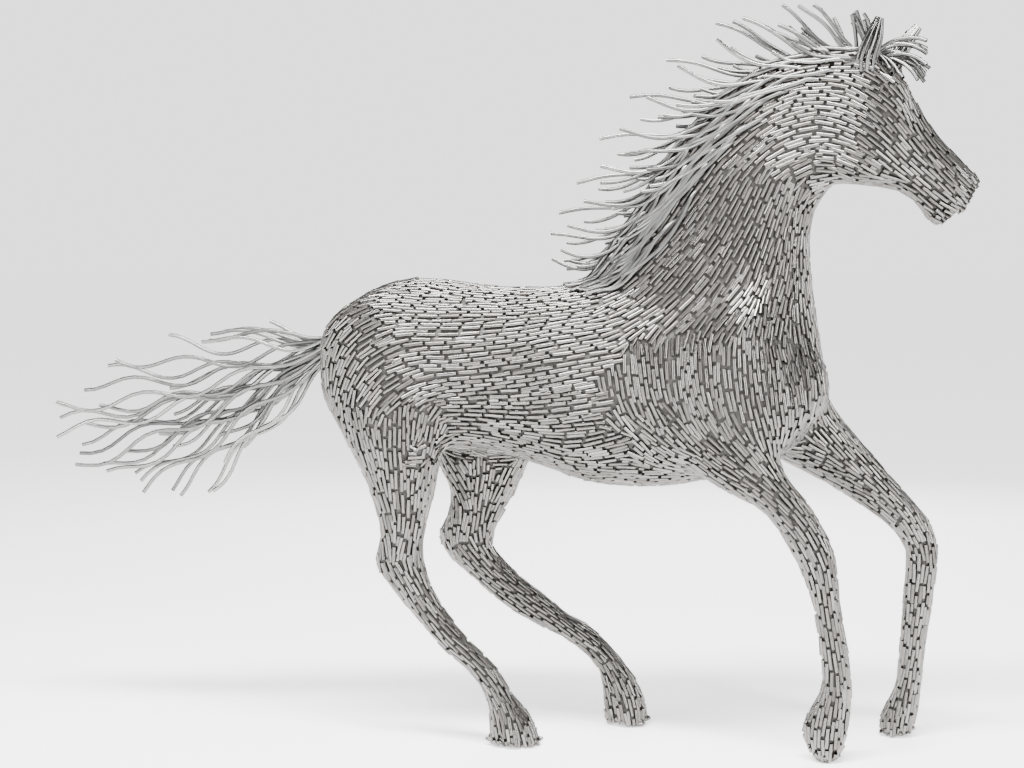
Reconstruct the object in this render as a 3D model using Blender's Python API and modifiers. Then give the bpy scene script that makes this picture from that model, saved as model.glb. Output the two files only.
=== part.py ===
"""A galloping horse, welded up from short offcuts of bright steel tube, with a mane, forelock and
tail of longer bent tubes.

+X runs from tail to muzzle, +Z up, and the horse's right flank faces -Y. The hind hooves stand flat
and the fore hooves stand on their toes, all four on z = 0, with the origin under the middle of the
whole. Free-form places and radii are in squares of the grid that a sculptor lays over the side view.
"""

import math

import bmesh
import bpy
import numpy as np
from mathutils import Matrix, Vector
from mathutils.bvhtree import BVHTree

# Driving sizes, in metres.
HEIGHT = 1.735              # ground to the highest tip of the mane
TUBE_DIAMETER = 0.0095      # the tube that everything is cut from
WELD_GAP = 0.0005           # clearance left where one piece meets another
STRAND_GAP = 0.009          # room between neighbouring tubes of the tail, mane and forelock
TAIL_LENGTH = 0.82          # the longest tail tube
MANE_LENGTH = 0.25          # a full mane tube
FORELOCK_LENGTH = 0.13      # a full forelock tube
WAVE_LENGTH = 0.27          # from crest to crest of the waves bent into the tubes

# How finely the skin is worked.
SKIN_GRAIN = 0.011          # voxel that blends the masses into one skin
SKIN_SMOOTHING = 5          # passes that take the steps off the blend
SKIN_DETAIL = 0.050         # share of the facets kept
RING_SIDES = 20
RINGS_BETWEEN = 4
TAIL_POINTS = 13            # points of a tail tube's path
STRAND_POINTS = 8           # points of a shorter tube's path
STRAND_STEPS = 60           # steps in which a strand's path is followed
GROUND_CUT = 0.08           # depth of the block that trims the hooves flat

SQUARES_TALL = 94.5         # the height in squares of the grid
GROUND_LINE = 0.8           # the square at which the hooves stand on the ground
SQUARE = HEIGHT / SQUARES_TALL
TUBE_RADIUS = TUBE_DIAMETER / 2
STRAND_PITCH = TUBE_DIAMETER + STRAND_GAP

# Each mass is a run of sections. A section gives one edge of its outline and the edge opposite, as
# (x, z) and (x, z), then its middle's place across the horse, y, and its half width, all in squares.
TORSO = [  # back and belly
    ((-24.7, 53.6), (-24.7, 46.6), 0, 4.4),
    ((-23.0, 56.1), (-22.8, 42.4), 0, 7.2),
    ((-20.3, 58.3), (-20.6, 39.6), 0, 9.2),
    ((-16.4, 60.3), (-16.5, 38.6), 0, 10.2),
    ((-12.2, 61.0), (-11.7, 38.2), 0, 10.4),
    ((-7.0, 60.4), (-6.3, 37.9), 0, 10.2),
    ((-1.6, 59.7), (-1.6, 37.5), 0, 10.6),
    ((3.7, 59.7), (3.7, 36.2), 0, 11.3),
    ((9.0, 60.2), (9.1, 34.3), 0, 11.6),
    ((13.8, 61.2), (14.3, 33.5), 0, 11.3),
    ((18.5, 61.5), (20.0, 33.6), 0, 10.4),
    ((23.5, 61.0), (26.0, 34.6), 0, 9.6),
    ((29.3, 59.2), (31.8, 36.2), 0, 8.8),
    ((34.4, 56.4), (36.3, 38.6), 0, 7.4),
    ((38.2, 53.2), (39.0, 42.0), 0, 5.2),
]
NECK = [  # crest and throat
    ((9.5, 60.0), (40.8, 46.0), 0, 8.6),
    ((13.0, 65.0), (40.2, 52.2), 0, 7.6),
    ((15.8, 69.2), (39.2, 57.4), 0, 6.5),
    ((18.1, 72.8), (38.6, 62.4), 0, 5.8),
    ((20.6, 77.0), (38.5, 67.0), 0, 5.3),
    ((23.8, 81.4), (39.6, 70.3), 0, 5.0),
    ((28.2, 85.3), (41.0, 72.2), 0, 4.9),
    ((33.5, 88.5), (42.2, 72.6), 0, 4.8),
    ((38.5, 89.8), (43.2, 72.4), 0, 4.7),
]
HEAD = [  # forehead and jaw, then nose and lip
    ((31.0, 87.2), (41.5, 72.8), 0, 4.4),
    ((36.0, 89.2), (42.2, 72.6), 0, 4.7),
    ((40.6, 90.0), (43.5, 72.4), 0, 4.8),
    ((45.6, 89.2), (45.5, 72.2), 0, 4.9),
    ((48.8, 86.8), (47.5, 72.0), 0, 4.7),
    ((51.0, 83.7), (49.3, 71.6), 0, 4.1),
    ((52.8, 80.6), (50.6, 71.2), 0, 3.5),
    ((54.6, 78.2), (51.7, 70.8), 0, 3.1),
    ((56.3, 76.4), (53.3, 70.3), 0, 2.9),
    ((57.8, 75.0), (55.1, 69.4), 0, 3.0),
    ((58.4, 73.3), (56.6, 68.6), 0, 2.8),
    ((58.3, 71.2), (57.5, 68.5), 0, 2.0),
]
LOWER_JAW = [
    ((49.4, 74.0), (49.1, 71.9), 0, 2.6),
    ((51.6, 72.6), (50.6, 71.1), 0, 2.4),
    ((53.6, 71.0), (51.8, 69.8), 0, 2.3),
    ((54.7, 69.6), (52.4, 68.4), 0, 2.2),
    ((55.4, 68.5), (53.7, 67.1), 0, 1.9),
    ((55.4, 67.8), (54.6, 67.2), 0, 1.2),
]
NEAR_HIND_LEG = [  # rear edge and front edge
    ((-23.2, 52.0), (-6.0, 50.5), -4.8, 6.0),
    ((-23.2, 47.0), (-6.3, 46.0), -5.4, 6.2),
    ((-22.3, 42.4), (-7.3, 42.0), -5.8, 5.9),
    ((-20.3, 38.5), (-7.9, 38.3), -6.1, 5.2),
    ((-18.4, 35.3), (-8.6, 35.0), -6.3, 4.5),
    ((-17.1, 32.0), (-9.0, 32.0), -6.5, 3.9),
    ((-16.3, 29.4), (-9.7, 29.6), -6.6, 3.4),
    ((-16.0, 26.8), (-10.5, 27.0), -6.7, 3.0),
    ((-17.2, 24.2), (-10.3, 24.4), -6.8, 2.8),
    ((-15.6, 21.8), (-9.7, 22.2), -6.9, 2.5),
    ((-12.4, 17.9), (-8.3, 19.2), -7.0, 2.1),
    ((-9.1, 14.3), (-6.6, 16.9), -7.1, 2.0),
    ((-6.3, 11.6), (-4.0, 14.0), -7.2, 2.0),
    ((-3.7, 9.6), (-0.5, 11.0), -7.2, 2.2),
    ((-1.8, 6.8), (1.3, 7.5), -7.3, 2.1),
    ((-1.5, 4.3), (3.9, 5.0), -7.3, 2.5),
    ((-1.7, 2.2), (5.0, 2.4), -7.3, 2.9),
    ((-2.0, -0.6), (5.6, -0.6), -7.3, 3.3),
]
FAR_HIND_LEG = [
    ((-20.0, 50.5), (0.5, 49.5), 4.8, 6.0),
    ((-14.0, 44.2), (2.9, 44.4), 5.4, 6.0),
    ((-12.2, 38.7), (2.5, 39.6), 5.8, 5.4),
    ((-11.1, 34.7), (1.0, 35.5), 6.1, 4.6),
    ((-9.6, 32.0), (-0.3, 32.6), 6.4, 4.0),
    ((-9.9, 29.2), (-2.2, 29.3), 6.6, 3.5),
    ((-11.1, 26.9), (-3.6, 26.7), 6.7, 3.1),
    ((-12.0, 25.5), (-4.0, 24.4), 6.8, 2.9),
    ((-10.3, 22.9), (-1.7, 21.8), 6.9, 2.6),
    ((-6.3, 19.5), (1.1, 19.4), 7.0, 2.3),
    ((-2.1, 15.9), (4.3, 17.3), 7.1, 2.1),
    ((2.0, 13.7), (6.0, 15.6), 7.2, 2.0),
    ((5.7, 12.2), (9.0, 14.3), 7.2, 2.1),
    ((8.6, 10.1), (11.6, 11.8), 7.3, 2.1),
    ((10.6, 8.1), (14.6, 8.5), 7.3, 2.2),
    ((10.9, 5.3), (16.5, 5.5), 7.3, 2.6),
    ((11.2, 2.9), (17.1, 3.2), 7.3, 3.0),
    ((11.3, -0.6), (17.4, -0.6), 7.3, 3.3),
]
NEAR_FORE_LEG = [
    ((15.0, 51.0), (38.0, 51.0), -4.4, 5.0),
    ((17.8, 45.6), (37.8, 45.9), -4.9, 5.0),
    ((21.4, 40.6), (36.6, 41.5), -5.5, 4.5),
    ((25.5, 35.7), (35.2, 38.1), -6.0, 4.0),
    ((29.9, 33.4), (36.6, 35.6), -6.3, 3.6),
    ((33.3, 31.7), (38.5, 33.4), -6.6, 3.2),
    ((35.4, 28.9), (40.6, 30.5), -6.8, 2.9),
    ((36.9, 26.3), (42.1, 27.8), -7.0, 2.8),
    ((38.2, 24.2), (42.6, 25.3), -7.1, 2.6),
    ((39.0, 21.8), (42.9, 22.2), -7.2, 2.2),
    ((39.8, 18.9), (43.2, 19.3), -7.3, 1.9),
    ((40.2, 15.7), (44.0, 16.3), -7.4, 1.9),
    ((40.5, 13.2), (44.4, 13.4), -7.4, 2.0),
    ((40.9, 10.7), (44.7, 10.9), -7.5, 2.2),
    ((39.9, 8.1), (44.8, 8.6), -7.5, 2.4),
    ((38.2, 5.3), (44.6, 6.8), -7.5, 2.8),
    ((38.5, 2.9), (44.4, 4.5), -7.5, 2.9),
    ((39.8, 1.2), (43.7, 2.2), -7.5, 2.6),
    ((40.6, -0.6), (43.0, -0.4), -7.5, 2.2),
]
FAR_FORE_LEG = [
    ((24.0, 44.0), (38.5, 51.0), 4.6, 4.8),
    ((28.7, 39.7), (39.7, 48.0), 5.0, 4.6),
    ((32.1, 38.2), (40.8, 45.0), 5.5, 4.3),
    ((35.9, 36.2), (43.0, 41.8), 6.0, 3.9),
    ((39.8, 34.3), (45.8, 38.7), 6.4, 3.5),
    ((43.7, 31.9), (48.7, 35.3), 6.7, 3.1),
    ((47.0, 29.7), (51.6, 32.1), 6.9, 2.9),
    ((49.6, 27.3), (54.1, 29.3), 7.1, 2.8),
    ((50.9, 25.2), (55.1, 25.8), 7.2, 2.6),
    ((50.6, 22.2), (55.0, 22.1), 7.3, 2.2),
    ((50.3, 18.2), (54.5, 18.1), 7.4, 2.0),
    ((50.1, 14.3), (53.8, 14.4), 7.5, 1.9),
    ((49.8, 10.9), (53.5, 11.1), 7.5, 2.0),
    ((49.8, 7.9), (53.3, 8.5), 7.5, 2.2),
    ((48.5, 5.2), (53.2, 6.1), 7.5, 2.5),
    ((47.3, 2.8), (52.9, 4.2), 7.5, 2.8),
    ((47.8, 1.0), (52.4, 2.3), 7.5, 2.6),
    ((48.8, -0.6), (51.7, -0.4), 7.5, 2.2),
]
NEAR_EAR = [
    ((43.6, 84.6), (46.6, 84.8), -2.9, 1.3),
    ((43.7, 87.4), (46.7, 87.6), -3.2, 1.5),
    ((44.6, 90.2), (47.3, 90.0), -3.5, 1.3),
    ((46.4, 93.2), (47.4, 93.0), -3.8, 0.7),
]
FAR_EAR = [
    ((45.6, 84.6), (48.6, 84.2), 2.9, 1.3),
    ((46.6, 87.2), (49.4, 86.6), 3.2, 1.5),
    ((48.2, 89.8), (50.6, 89.0), 3.5, 1.3),
    ((51.0, 92.4), (51.8, 91.8), 3.8, 0.7),
]
MASSES = (
    TORSO, NECK, HEAD, LOWER_JAW,
    NEAR_HIND_LEG, FAR_HIND_LEG, NEAR_FORE_LEG, FAR_FORE_LEG,
    NEAR_EAR, FAR_EAR,
)

# Muscles that stand proud on both flanks: middle (x, y, z), radii along, across and up, and a tilt
# in degrees that lifts the front end.
MUSCLES = (
    ((-16.5, 5.6, 51.5), (8.2, 5.4, 7.2), 20),      # haunch
    ((-5.0, 6.6, 50.5), (5.0, 3.6, 4.0), -35),      # point of hip
    ((-21.0, 4.6, 47.5), (3.6, 4.2, 6.0), 0),       # buttock
    ((28.6, 6.0, 50.5), (4.6, 3.6, 9.0), -22),      # shoulder blade
    ((33.8, 5.2, 44.8), (5.4, 3.8, 4.8), 0),        # point of shoulder
    ((37.8, 2.9, 46.4), (3.3, 3.2, 5.2), -8),       # breast
    ((23.0, 6.6, 43.0), (6.2, 3.6, 5.6), 30),       # upper arm
    ((45.4, 3.2, 77.0), (4.3, 2.1, 4.9), -20),      # cheek
    ((49.2, 2.9, 84.4), (2.4, 1.5, 1.5), -50),      # brow
    ((58.2, 2.0, 72.8), (1.4, 1.2, 1.7), -50),      # nostril
)

# The tail tubes leave the rump at the dock in columns side by side, each with a few tubes one over
# the other. Their tips make a fan, and reach is how far each part of the fan runs, top to bottom.
DOCK = (-22.6, 0.0, 52.3)
DOCK_SLOPE = -36.0
TAIL_COLUMNS = 5
TAIL_ROWS = 4
TAIL_START = (-18.0, -45.0)     # slope in degrees at the dock, for the top and the bottom of the fan
TAIL_END = (14.0, -46.0)        # slope at the tips
TAIL_REACH = ((0.0, 0.46), (0.12, 0.80), (0.32, 1.0), (0.5, 0.94), (0.72, 0.80), (1.0, 0.60))
TAIL_SPREAD = 0.9               # how much wider the fan is at the tips than at the dock, seen from above
TAIL_WAVE = 22.0                # swing of the slope, in degrees

# The mane grows from the crest in rows. Every tube leaves toward the withers, lifts off and ends
# pointing back. A row is its place across the horse, how far below the crest it starts, the part of
# the crest that it covers, counted from the withers, and its number of tubes.
CREST = ((12.2, 62.0), (14.2, 65.0), (17.0, 69.2), (19.4, 72.8), (22.0, 77.0), (25.2, 81.0),
         (29.6, 84.6), (34.6, 87.4), (39.8, 88.6), (44.6, 88.4), (48.0, 86.6))
MANE_ROWS = (
    (-2.5, 1.6, (0.14, 0.78), 8),
    (0.0, 0.0, (0.03, 0.99), 10),
    (2.5, 1.6, (0.10, 0.75), 8),
)
MANE_LIFT = 22.0                # degrees between a tube's root and the crest
MANE_WAVE = 15.0
MANE_SPREAD = 0.35
MANE_END = ((0.0, 22.0), (0.3, 0.0), (0.55, 8.0), (0.75, 24.0), (0.9, 40.0), (1.0, 62.0))
MANE_REACH = ((0.0, 0.55), (0.2, 0.95), (0.35, 1.0), (0.75, 0.95), (0.9, 0.75), (1.0, 0.6))

# The forelock falls forward over the brow in rows, one over the other.
FORELOCK_ROOT = (46.2, 0.0, 88.0)
FORELOCK_ROWS = 2
FORELOCK_COLUMNS = 4
FORELOCK_START = (52.0, 32.0)   # slope in degrees at the poll, for the top and the bottom tubes
FORELOCK_END = (-24.0, -64.0)
FORELOCK_SPREAD = 0.8


def steel(name, shade, roughness):
    """A bright metal for the tubes."""
    material = bpy.data.materials.new(name)
    material.use_nodes = True
    shader = material.node_tree.nodes["Principled BSDF"]
    shader.inputs["Base Color"].default_value = (shade, shade, shade * 0.98, 1.0)
    shader.inputs["Metallic"].default_value = 1.0
    shader.inputs["Roughness"].default_value = roughness
    return material


def smooth_run(rows, steps):
    """A Catmull-Rom run through rows of numbers, with steps between each two."""
    rows = np.array(rows, float)
    before = 2 * rows[0] - rows[1]
    after = 2 * rows[-1] - rows[-2]
    ends = np.vstack([before, rows, after])
    found = []
    for i in range(1, len(ends) - 2):
        p0, p1, p2, p3 = ends[i - 1:i + 3]
        for k in range(steps):
            t = k / steps
            found.append(0.5 * (2 * p1 + (p2 - p0) * t + (2 * p0 - 5 * p1 + 4 * p2 - p3) * t ** 2
                                + (3 * p1 - p0 - 3 * p2 + p3) * t ** 3))
    found.append(rows[-1])
    return np.array(found)


def add_loft(work, sections):
    """Adds one closed mass to the bmesh: rings through the sections, with a cap at each end."""
    rows = [(*edge, *opposite, side, half) for edge, opposite, side, half in sections]
    rings = []
    for x0, z0, x1, z1, side, half in smooth_run(rows, RINGS_BETWEEN) * SQUARE:
        middle = Vector(((x0 + x1) / 2, side, (z0 + z1) / 2))
        reach = Vector(((x1 - x0) / 2, 0, (z1 - z0) / 2))
        turns = [2 * math.pi * k / RING_SIDES for k in range(RING_SIDES)]
        rings.append([
            work.verts.new(middle + reach * math.cos(a) + Vector((0, half * math.sin(a), 0)))
            for a in turns
        ])
    for low, high in zip(rings, rings[1:]):
        for k in range(RING_SIDES):
            following = (k + 1) % RING_SIDES
            work.faces.new((low[k], low[following], high[following], high[k]))
    work.faces.new(rings[0])
    work.faces.new(rings[-1])


def add_muscle(work, middle, radii, tilt, side):
    """Adds one egg-shaped muscle to the bmesh, on the flank that side names."""
    place = Matrix.Translation(Vector((middle[0], side * middle[1], middle[2])) * SQUARE)
    turn = Matrix.Rotation(math.radians(-tilt), 4, "Y")
    size = Matrix.Diagonal((*(Vector(radii) * SQUARE), 1.0))
    bmesh.ops.create_uvsphere(work, u_segments=20, v_segments=12, radius=1.0,
                              matrix=place @ turn @ size)


def add_modifier(thing, name, kind, **settings):
    modifier = thing.modifiers.new(name, kind)
    for key, value in settings.items():
        setattr(modifier, key, value)


def make_ground_cutter(cutters, root):
    """The block below the ground, which trims the four hooves flat."""
    work = bmesh.new()
    size = Matrix.Diagonal((2 * HEIGHT, HEIGHT, GROUND_CUT, 1.0))
    drop = Matrix.Translation((0, 0, GROUND_LINE * SQUARE - GROUND_CUT / 2))
    bmesh.ops.create_cube(work, size=1.0, matrix=drop @ size)
    mesh = bpy.data.meshes.new("ground_cutter")
    work.to_mesh(mesh)
    work.free()
    cutter = bpy.data.objects.new("ground_cutter", mesh)
    cutters.objects.link(cutter)
    cutter.hide_render = True
    cutter.display_type = "WIRE"
    cutter.parent = root
    return cutter


def make_body(parts, cutter, root, finish):
    """The welded skin: torso, neck, head, ears and legs, blended into one."""
    work = bmesh.new()
    for sections in MASSES:
        add_loft(work, sections)
    for middle, radii, tilt in MUSCLES:
        for side in (-1, 1):
            add_muscle(work, middle, radii, tilt, side)
    bmesh.ops.recalc_face_normals(work, faces=work.faces)
    mesh = bpy.data.meshes.new("horse_body")
    work.to_mesh(mesh)
    work.free()
    mesh.materials.append(finish)
    body = bpy.data.objects.new("horse_body", mesh)
    parts.objects.link(body)
    body.parent = root
    add_modifier(body, "Blend", "REMESH", mode="VOXEL", voxel_size=SKIN_GRAIN, use_smooth_shade=True)
    add_modifier(body, "Ease", "SMOOTH", factor=0.5, iterations=SKIN_SMOOTHING)
    add_modifier(body, "Facet", "DECIMATE", ratio=SKIN_DETAIL, use_collapse_triangulate=True)
    add_modifier(body, "Stand", "BOOLEAN", operation="DIFFERENCE", object=cutter, solver="EXACT")
    return body


def skin_tree(body):
    """The finished skin as a tree for distance tests, in the body's own frame."""
    graph = bpy.context.evaluated_depsgraph_get()
    return BVHTree.FromObject(body, graph)


def height_above(skin, point):
    """How far a point stands off the skin: negative inside it."""
    near, normal, _, distance = skin.find_nearest(point)
    return math.copysign(distance, (point - near).dot(normal))


def resample(path, start, count):
    """The part of a path that lies past start metres, as count points evenly spaced along it."""
    steps = np.linalg.norm(np.diff(path, axis=0), axis=1)
    along = np.concatenate([[0.0], np.cumsum(steps)])
    wanted = np.linspace(start, along[-1], count)
    return np.stack([np.interp(wanted, along, path[:, k]) for k in range(3)], 1)


def end_height(skin, path, start):
    """How far the end cap of a tube that starts there stands off the skin, at its lowest point."""
    first, second = (Vector(p) for p in resample(path, start, STRAND_POINTS)[:2])
    run = (second - first).normalized()
    across = run.orthogonal().normalized() * TUBE_RADIUS
    rim = [first + Matrix.Rotation(math.radians(turn), 3, run) @ across for turn in range(0, 360, 30)]
    return min(height_above(skin, point) for point in rim)


def seat(path, count, skin):
    """Trims the root of a strand's path so that its end cap just clears the skin it is welded to."""
    length = float(np.sum(np.linalg.norm(np.diff(path, axis=0), axis=1)))
    step = length / STRAND_STEPS
    clear = [k for k in range(STRAND_STEPS) if end_height(skin, path, k * step) > WELD_GAP]
    outside = clear[0] * step
    inside = outside - step
    for _ in range(12):
        middle = (inside + outside) / 2
        if end_height(skin, path, middle) < WELD_GAP:
            inside = middle
        else:
            outside = middle
    return resample(path, outside, count)


def flow_path(root, length, slope, drift):
    """A path from its root that is followed step by step. slope(t) is its angle in the side view, in
    degrees, and drift(t) is its place across the horse, with t from 0 at the root to 1 at the tip."""
    step = length / STRAND_STEPS
    x, _, z = root
    path = [(x, drift(0.0), z)]
    for k in range(STRAND_STEPS):
        t = (k + 0.5) / STRAND_STEPS
        angle = math.radians(slope(t))
        x += step * math.cos(angle)
        z += step * math.sin(angle)
        path.append((x, drift((k + 1) / STRAND_STEPS), z))
    return np.array(path)


def between(ends, share):
    return ends[0] + (ends[1] - ends[0]) * share


def tail_paths():
    """The tail's tubes, column by column. u places a tube in the fan, from 0 at its top."""
    down = Vector((-math.sin(math.radians(DOCK_SLOPE)), 0, math.cos(math.radians(DOCK_SLOPE))))
    shares, reaches = zip(*TAIL_REACH)
    for column in range(TAIL_COLUMNS):
        order = (column * 2) % TAIL_COLUMNS
        side = (column - (TAIL_COLUMNS - 1) / 2) * STRAND_PITCH
        phase = order * math.tau / TAIL_COLUMNS
        for row in range(TAIL_ROWS):
            u = (row * TAIL_COLUMNS + order) / (TAIL_ROWS * TAIL_COLUMNS - 1)
            length = TAIL_LENGTH * float(np.interp(u, shares, reaches))
            root = Vector(DOCK) * SQUARE + down * ((TAIL_ROWS - 1) / 2 - row) * STRAND_PITCH

            def slope(t, u=u, length=length, phase=phase):
                swing = TAIL_WAVE * min(1.0, 3 * t)
                middle = between((between(TAIL_START, u), between(TAIL_END, u)), t)
                return 180 - middle + swing * math.sin(math.tau * t * length / WAVE_LENGTH + phase)

            def drift(t, side=side, length=length):
                return side * (1 + TAIL_SPREAD * t * length / TAIL_LENGTH)

            yield flow_path(root, length, slope, drift)


def along_crest(share):
    """The point of the crest at a share of its run from the withers, and the crest's slope there."""
    line = smooth_run(CREST, RINGS_BETWEEN)
    run = np.linalg.norm(np.diff(line, axis=0), axis=1)
    along = np.concatenate([[0.0], np.cumsum(run)])
    here = share * along[-1]
    point = [float(np.interp(here, along, line[:, k])) for k in range(2)]
    k = min(int(np.searchsorted(along, here, side="right")) - 1, len(run) - 1)
    back = line[k] - line[k + 1]
    return point, math.degrees(math.atan2(back[1], -back[0]))


def mane_paths():
    """The mane's tubes, row by row and from the withers up."""
    for row, (side, drop, (first, last), count) in enumerate(MANE_ROWS):
        for k in range(count):
            place = between((first, last), k / (count - 1))
            (x, z), crest_slope = along_crest(place)
            inward = math.radians(crest_slope)
            root = Vector((x - drop * math.sin(inward), 0, z - drop * math.cos(inward))) * SQUARE
            start = crest_slope + MANE_LIFT
            end = float(np.interp(place, *zip(*MANE_END)))
            length = MANE_LENGTH * float(np.interp(place, *zip(*MANE_REACH)))

            def slope(t, start=start, end=end, length=length, phase=row * math.tau / 3):
                swing = MANE_WAVE * min(1.0, 3 * t)
                return 180 - between((start, end), t) + swing * math.sin(
                    math.tau * t * length / WAVE_LENGTH + phase)

            def drift(t, side=side * SQUARE):
                return side * (1 + MANE_SPREAD * t)

            yield flow_path(root, length, slope, drift)


def forelock_paths():
    """The forelock's tubes, the top row first."""
    for row in range(FORELOCK_ROWS):
        for column in range(FORELOCK_COLUMNS):
            u = (row * FORELOCK_COLUMNS + (column * 3) % FORELOCK_COLUMNS) / (
                FORELOCK_ROWS * FORELOCK_COLUMNS - 1)
            root = Vector(FORELOCK_ROOT) * SQUARE + Vector((0, 0, (0.5 - row) * STRAND_PITCH))
            side = (column - (FORELOCK_COLUMNS - 1) / 2) * STRAND_PITCH

            def slope(t, u=u):
                return between((between(FORELOCK_START, u), between(FORELOCK_END, u)), t)

            def drift(t, side=side):
                return side * (1 + FORELOCK_SPREAD * t * t)

            yield flow_path(root, FORELOCK_LENGTH, slope, drift)


def make_strand(name, points, parts, root, finish):
    """One bent length of tube through the points."""
    data = bpy.data.curves.new(name, "CURVE")
    data.dimensions = "3D"
    data.bevel_depth = TUBE_RADIUS
    data.bevel_resolution = 1
    data.use_fill_caps = True
    spline = data.splines.new("POLY")
    spline.points.add(len(points) - 1)
    for target, point in zip(spline.points, points):
        target.co = (*point, 1.0)
    data.materials.append(finish)
    strand = bpy.data.objects.new(name, data)
    parts.objects.link(strand)
    strand.parent = root


def stand_on_origin(parts, root):
    """Moves the whole so that its box is centred on the origin and its lowest points are at z = 0."""
    graph = bpy.context.evaluated_depsgraph_get()
    corners = []
    for thing in parts.objects:
        if thing.type == "EMPTY":
            continue
        mesh = thing.evaluated_get(graph).to_mesh()
        points = np.empty(3 * len(mesh.vertices))
        mesh.vertices.foreach_get("co", points)
        points = points.reshape(-1, 3)
        corners += [points.min(0), points.max(0)]
        thing.evaluated_get(graph).to_mesh_clear()
    low, high = np.min(corners, 0), np.max(corners, 0)
    root.location = (-(low[0] + high[0]) / 2, -(low[1] + high[1]) / 2, -low[2])


def main():
    for thing in list(bpy.data.objects):
        bpy.data.objects.remove(thing, do_unlink=True)
    parts = bpy.data.collections.new("Galloping horse")
    cutters = bpy.data.collections.new("Cutters")
    for collection in (parts, cutters):
        bpy.context.scene.collection.children.link(collection)
    root = bpy.data.objects.new("horse", None)
    parts.objects.link(root)

    skin_steel = steel("tube_skin", 0.56, 0.34)
    strand_steel = steel("bent_tube", 0.48, 0.42)
    cutter = make_ground_cutter(cutters, root)
    body = make_body(parts, cutter, root, skin_steel)
    skin = skin_tree(body)
    for kind, paths, count in (
        ("tail", tail_paths(), TAIL_POINTS),
        ("mane", mane_paths(), STRAND_POINTS),
        ("forelock", forelock_paths(), STRAND_POINTS),
    ):
        for number, path in enumerate(paths, 1):
            points = seat(path, count, skin)
            make_strand(f"{kind}_strand_{number:02d}", points, parts, root, strand_steel)
    stand_on_origin(parts, root)


main()
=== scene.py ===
"""The looks of the galloping horse: thousands of short tube offcuts laid in rows over its skin, and a
mane, forelock and tail of longer bent tubes.

Free-form places are in squares of the grid laid over the side view, as in the solid model: x runs
from tail to muzzle, y is negative on the right flank and z is up.
"""

import math
import random
from collections import deque

import bmesh
import bpy
import numpy as np
from mathutils import Matrix, Quaternion, Vector
from mathutils.bvhtree import BVHTree


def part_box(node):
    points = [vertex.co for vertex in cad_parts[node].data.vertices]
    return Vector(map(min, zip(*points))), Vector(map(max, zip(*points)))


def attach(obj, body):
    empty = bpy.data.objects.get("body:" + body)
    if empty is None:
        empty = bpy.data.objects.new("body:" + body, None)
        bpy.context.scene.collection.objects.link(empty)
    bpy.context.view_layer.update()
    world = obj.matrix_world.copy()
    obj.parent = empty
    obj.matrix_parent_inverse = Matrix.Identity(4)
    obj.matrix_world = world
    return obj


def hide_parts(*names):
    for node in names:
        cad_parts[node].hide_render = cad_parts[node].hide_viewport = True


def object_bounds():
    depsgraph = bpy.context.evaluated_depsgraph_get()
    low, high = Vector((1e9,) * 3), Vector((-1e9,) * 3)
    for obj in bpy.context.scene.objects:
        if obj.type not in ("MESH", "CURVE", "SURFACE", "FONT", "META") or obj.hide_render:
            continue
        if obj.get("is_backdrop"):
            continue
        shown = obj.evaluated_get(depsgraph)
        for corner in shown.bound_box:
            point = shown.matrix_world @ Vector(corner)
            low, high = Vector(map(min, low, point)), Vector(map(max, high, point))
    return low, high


bl_info = {
    "name": "Welded tube horse",
    "version": (1, 0, 0),
    "blender": (4, 5, 0),
    "location": "View3D > Sidebar > Tube horse",
    "description": "Dresses a horse's skin in short offcuts of steel tube, with bent tubes for its hair",
    "category": "Add Mesh",
}

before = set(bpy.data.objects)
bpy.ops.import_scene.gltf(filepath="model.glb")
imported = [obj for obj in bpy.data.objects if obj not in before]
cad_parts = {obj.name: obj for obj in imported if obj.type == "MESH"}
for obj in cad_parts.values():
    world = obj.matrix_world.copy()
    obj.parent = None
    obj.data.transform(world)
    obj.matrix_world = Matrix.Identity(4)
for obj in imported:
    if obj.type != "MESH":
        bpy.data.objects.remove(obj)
SOLID_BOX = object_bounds()

# The grid of the side view, and where its corner lies in the frame.
SQUARE = 1.735 / 94.5
GROUND_LINE = 0.8
RUMP_END = -24.69               # the square at which the skin ends at the rump
ORIGIN = Vector((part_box("horse_body")[0][0] - RUMP_END * SQUARE, 0.0, -GROUND_LINE * SQUARE))

# The photograph's view.
CAMERA_TURN = 11.0
CAMERA_RISE = 4.0
CAMERA_DISTANCE = 5.0
CAMERA_AIM = 0.8446
PIXEL = 0.0024                  # size of a pixel at the horse, in metres
IMAGE_WIDTH = 1024
SENSOR = 36.0

SEED = 7
TRACE_STEP = 0.005              # step in which a row of tubes is followed over the skin
SAME_SIDE = 0.3                 # rows whose skins face further apart than this don't crowd each other
ROW_BEND = 0.55                 # a row ends where the next step turns more than this
ROW_STEPS = 400                 # most steps on either side of a row's seed
ROW_STUCK = 0.4                 # a row ends where a step gets it no further than this share of one
ROW_ROOM = 0.97                 # room that a new row needs, as a share of the pitch
OWN_STEPS = 6                   # a row isn't crowded by so many of its own last steps
BESIDE_EVERY = 2                # one point in so many is tried for a row beside it
BOND = (0.40, 0.60)             # where a gap lies beside the next row's gap, as a share of their spacing

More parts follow.
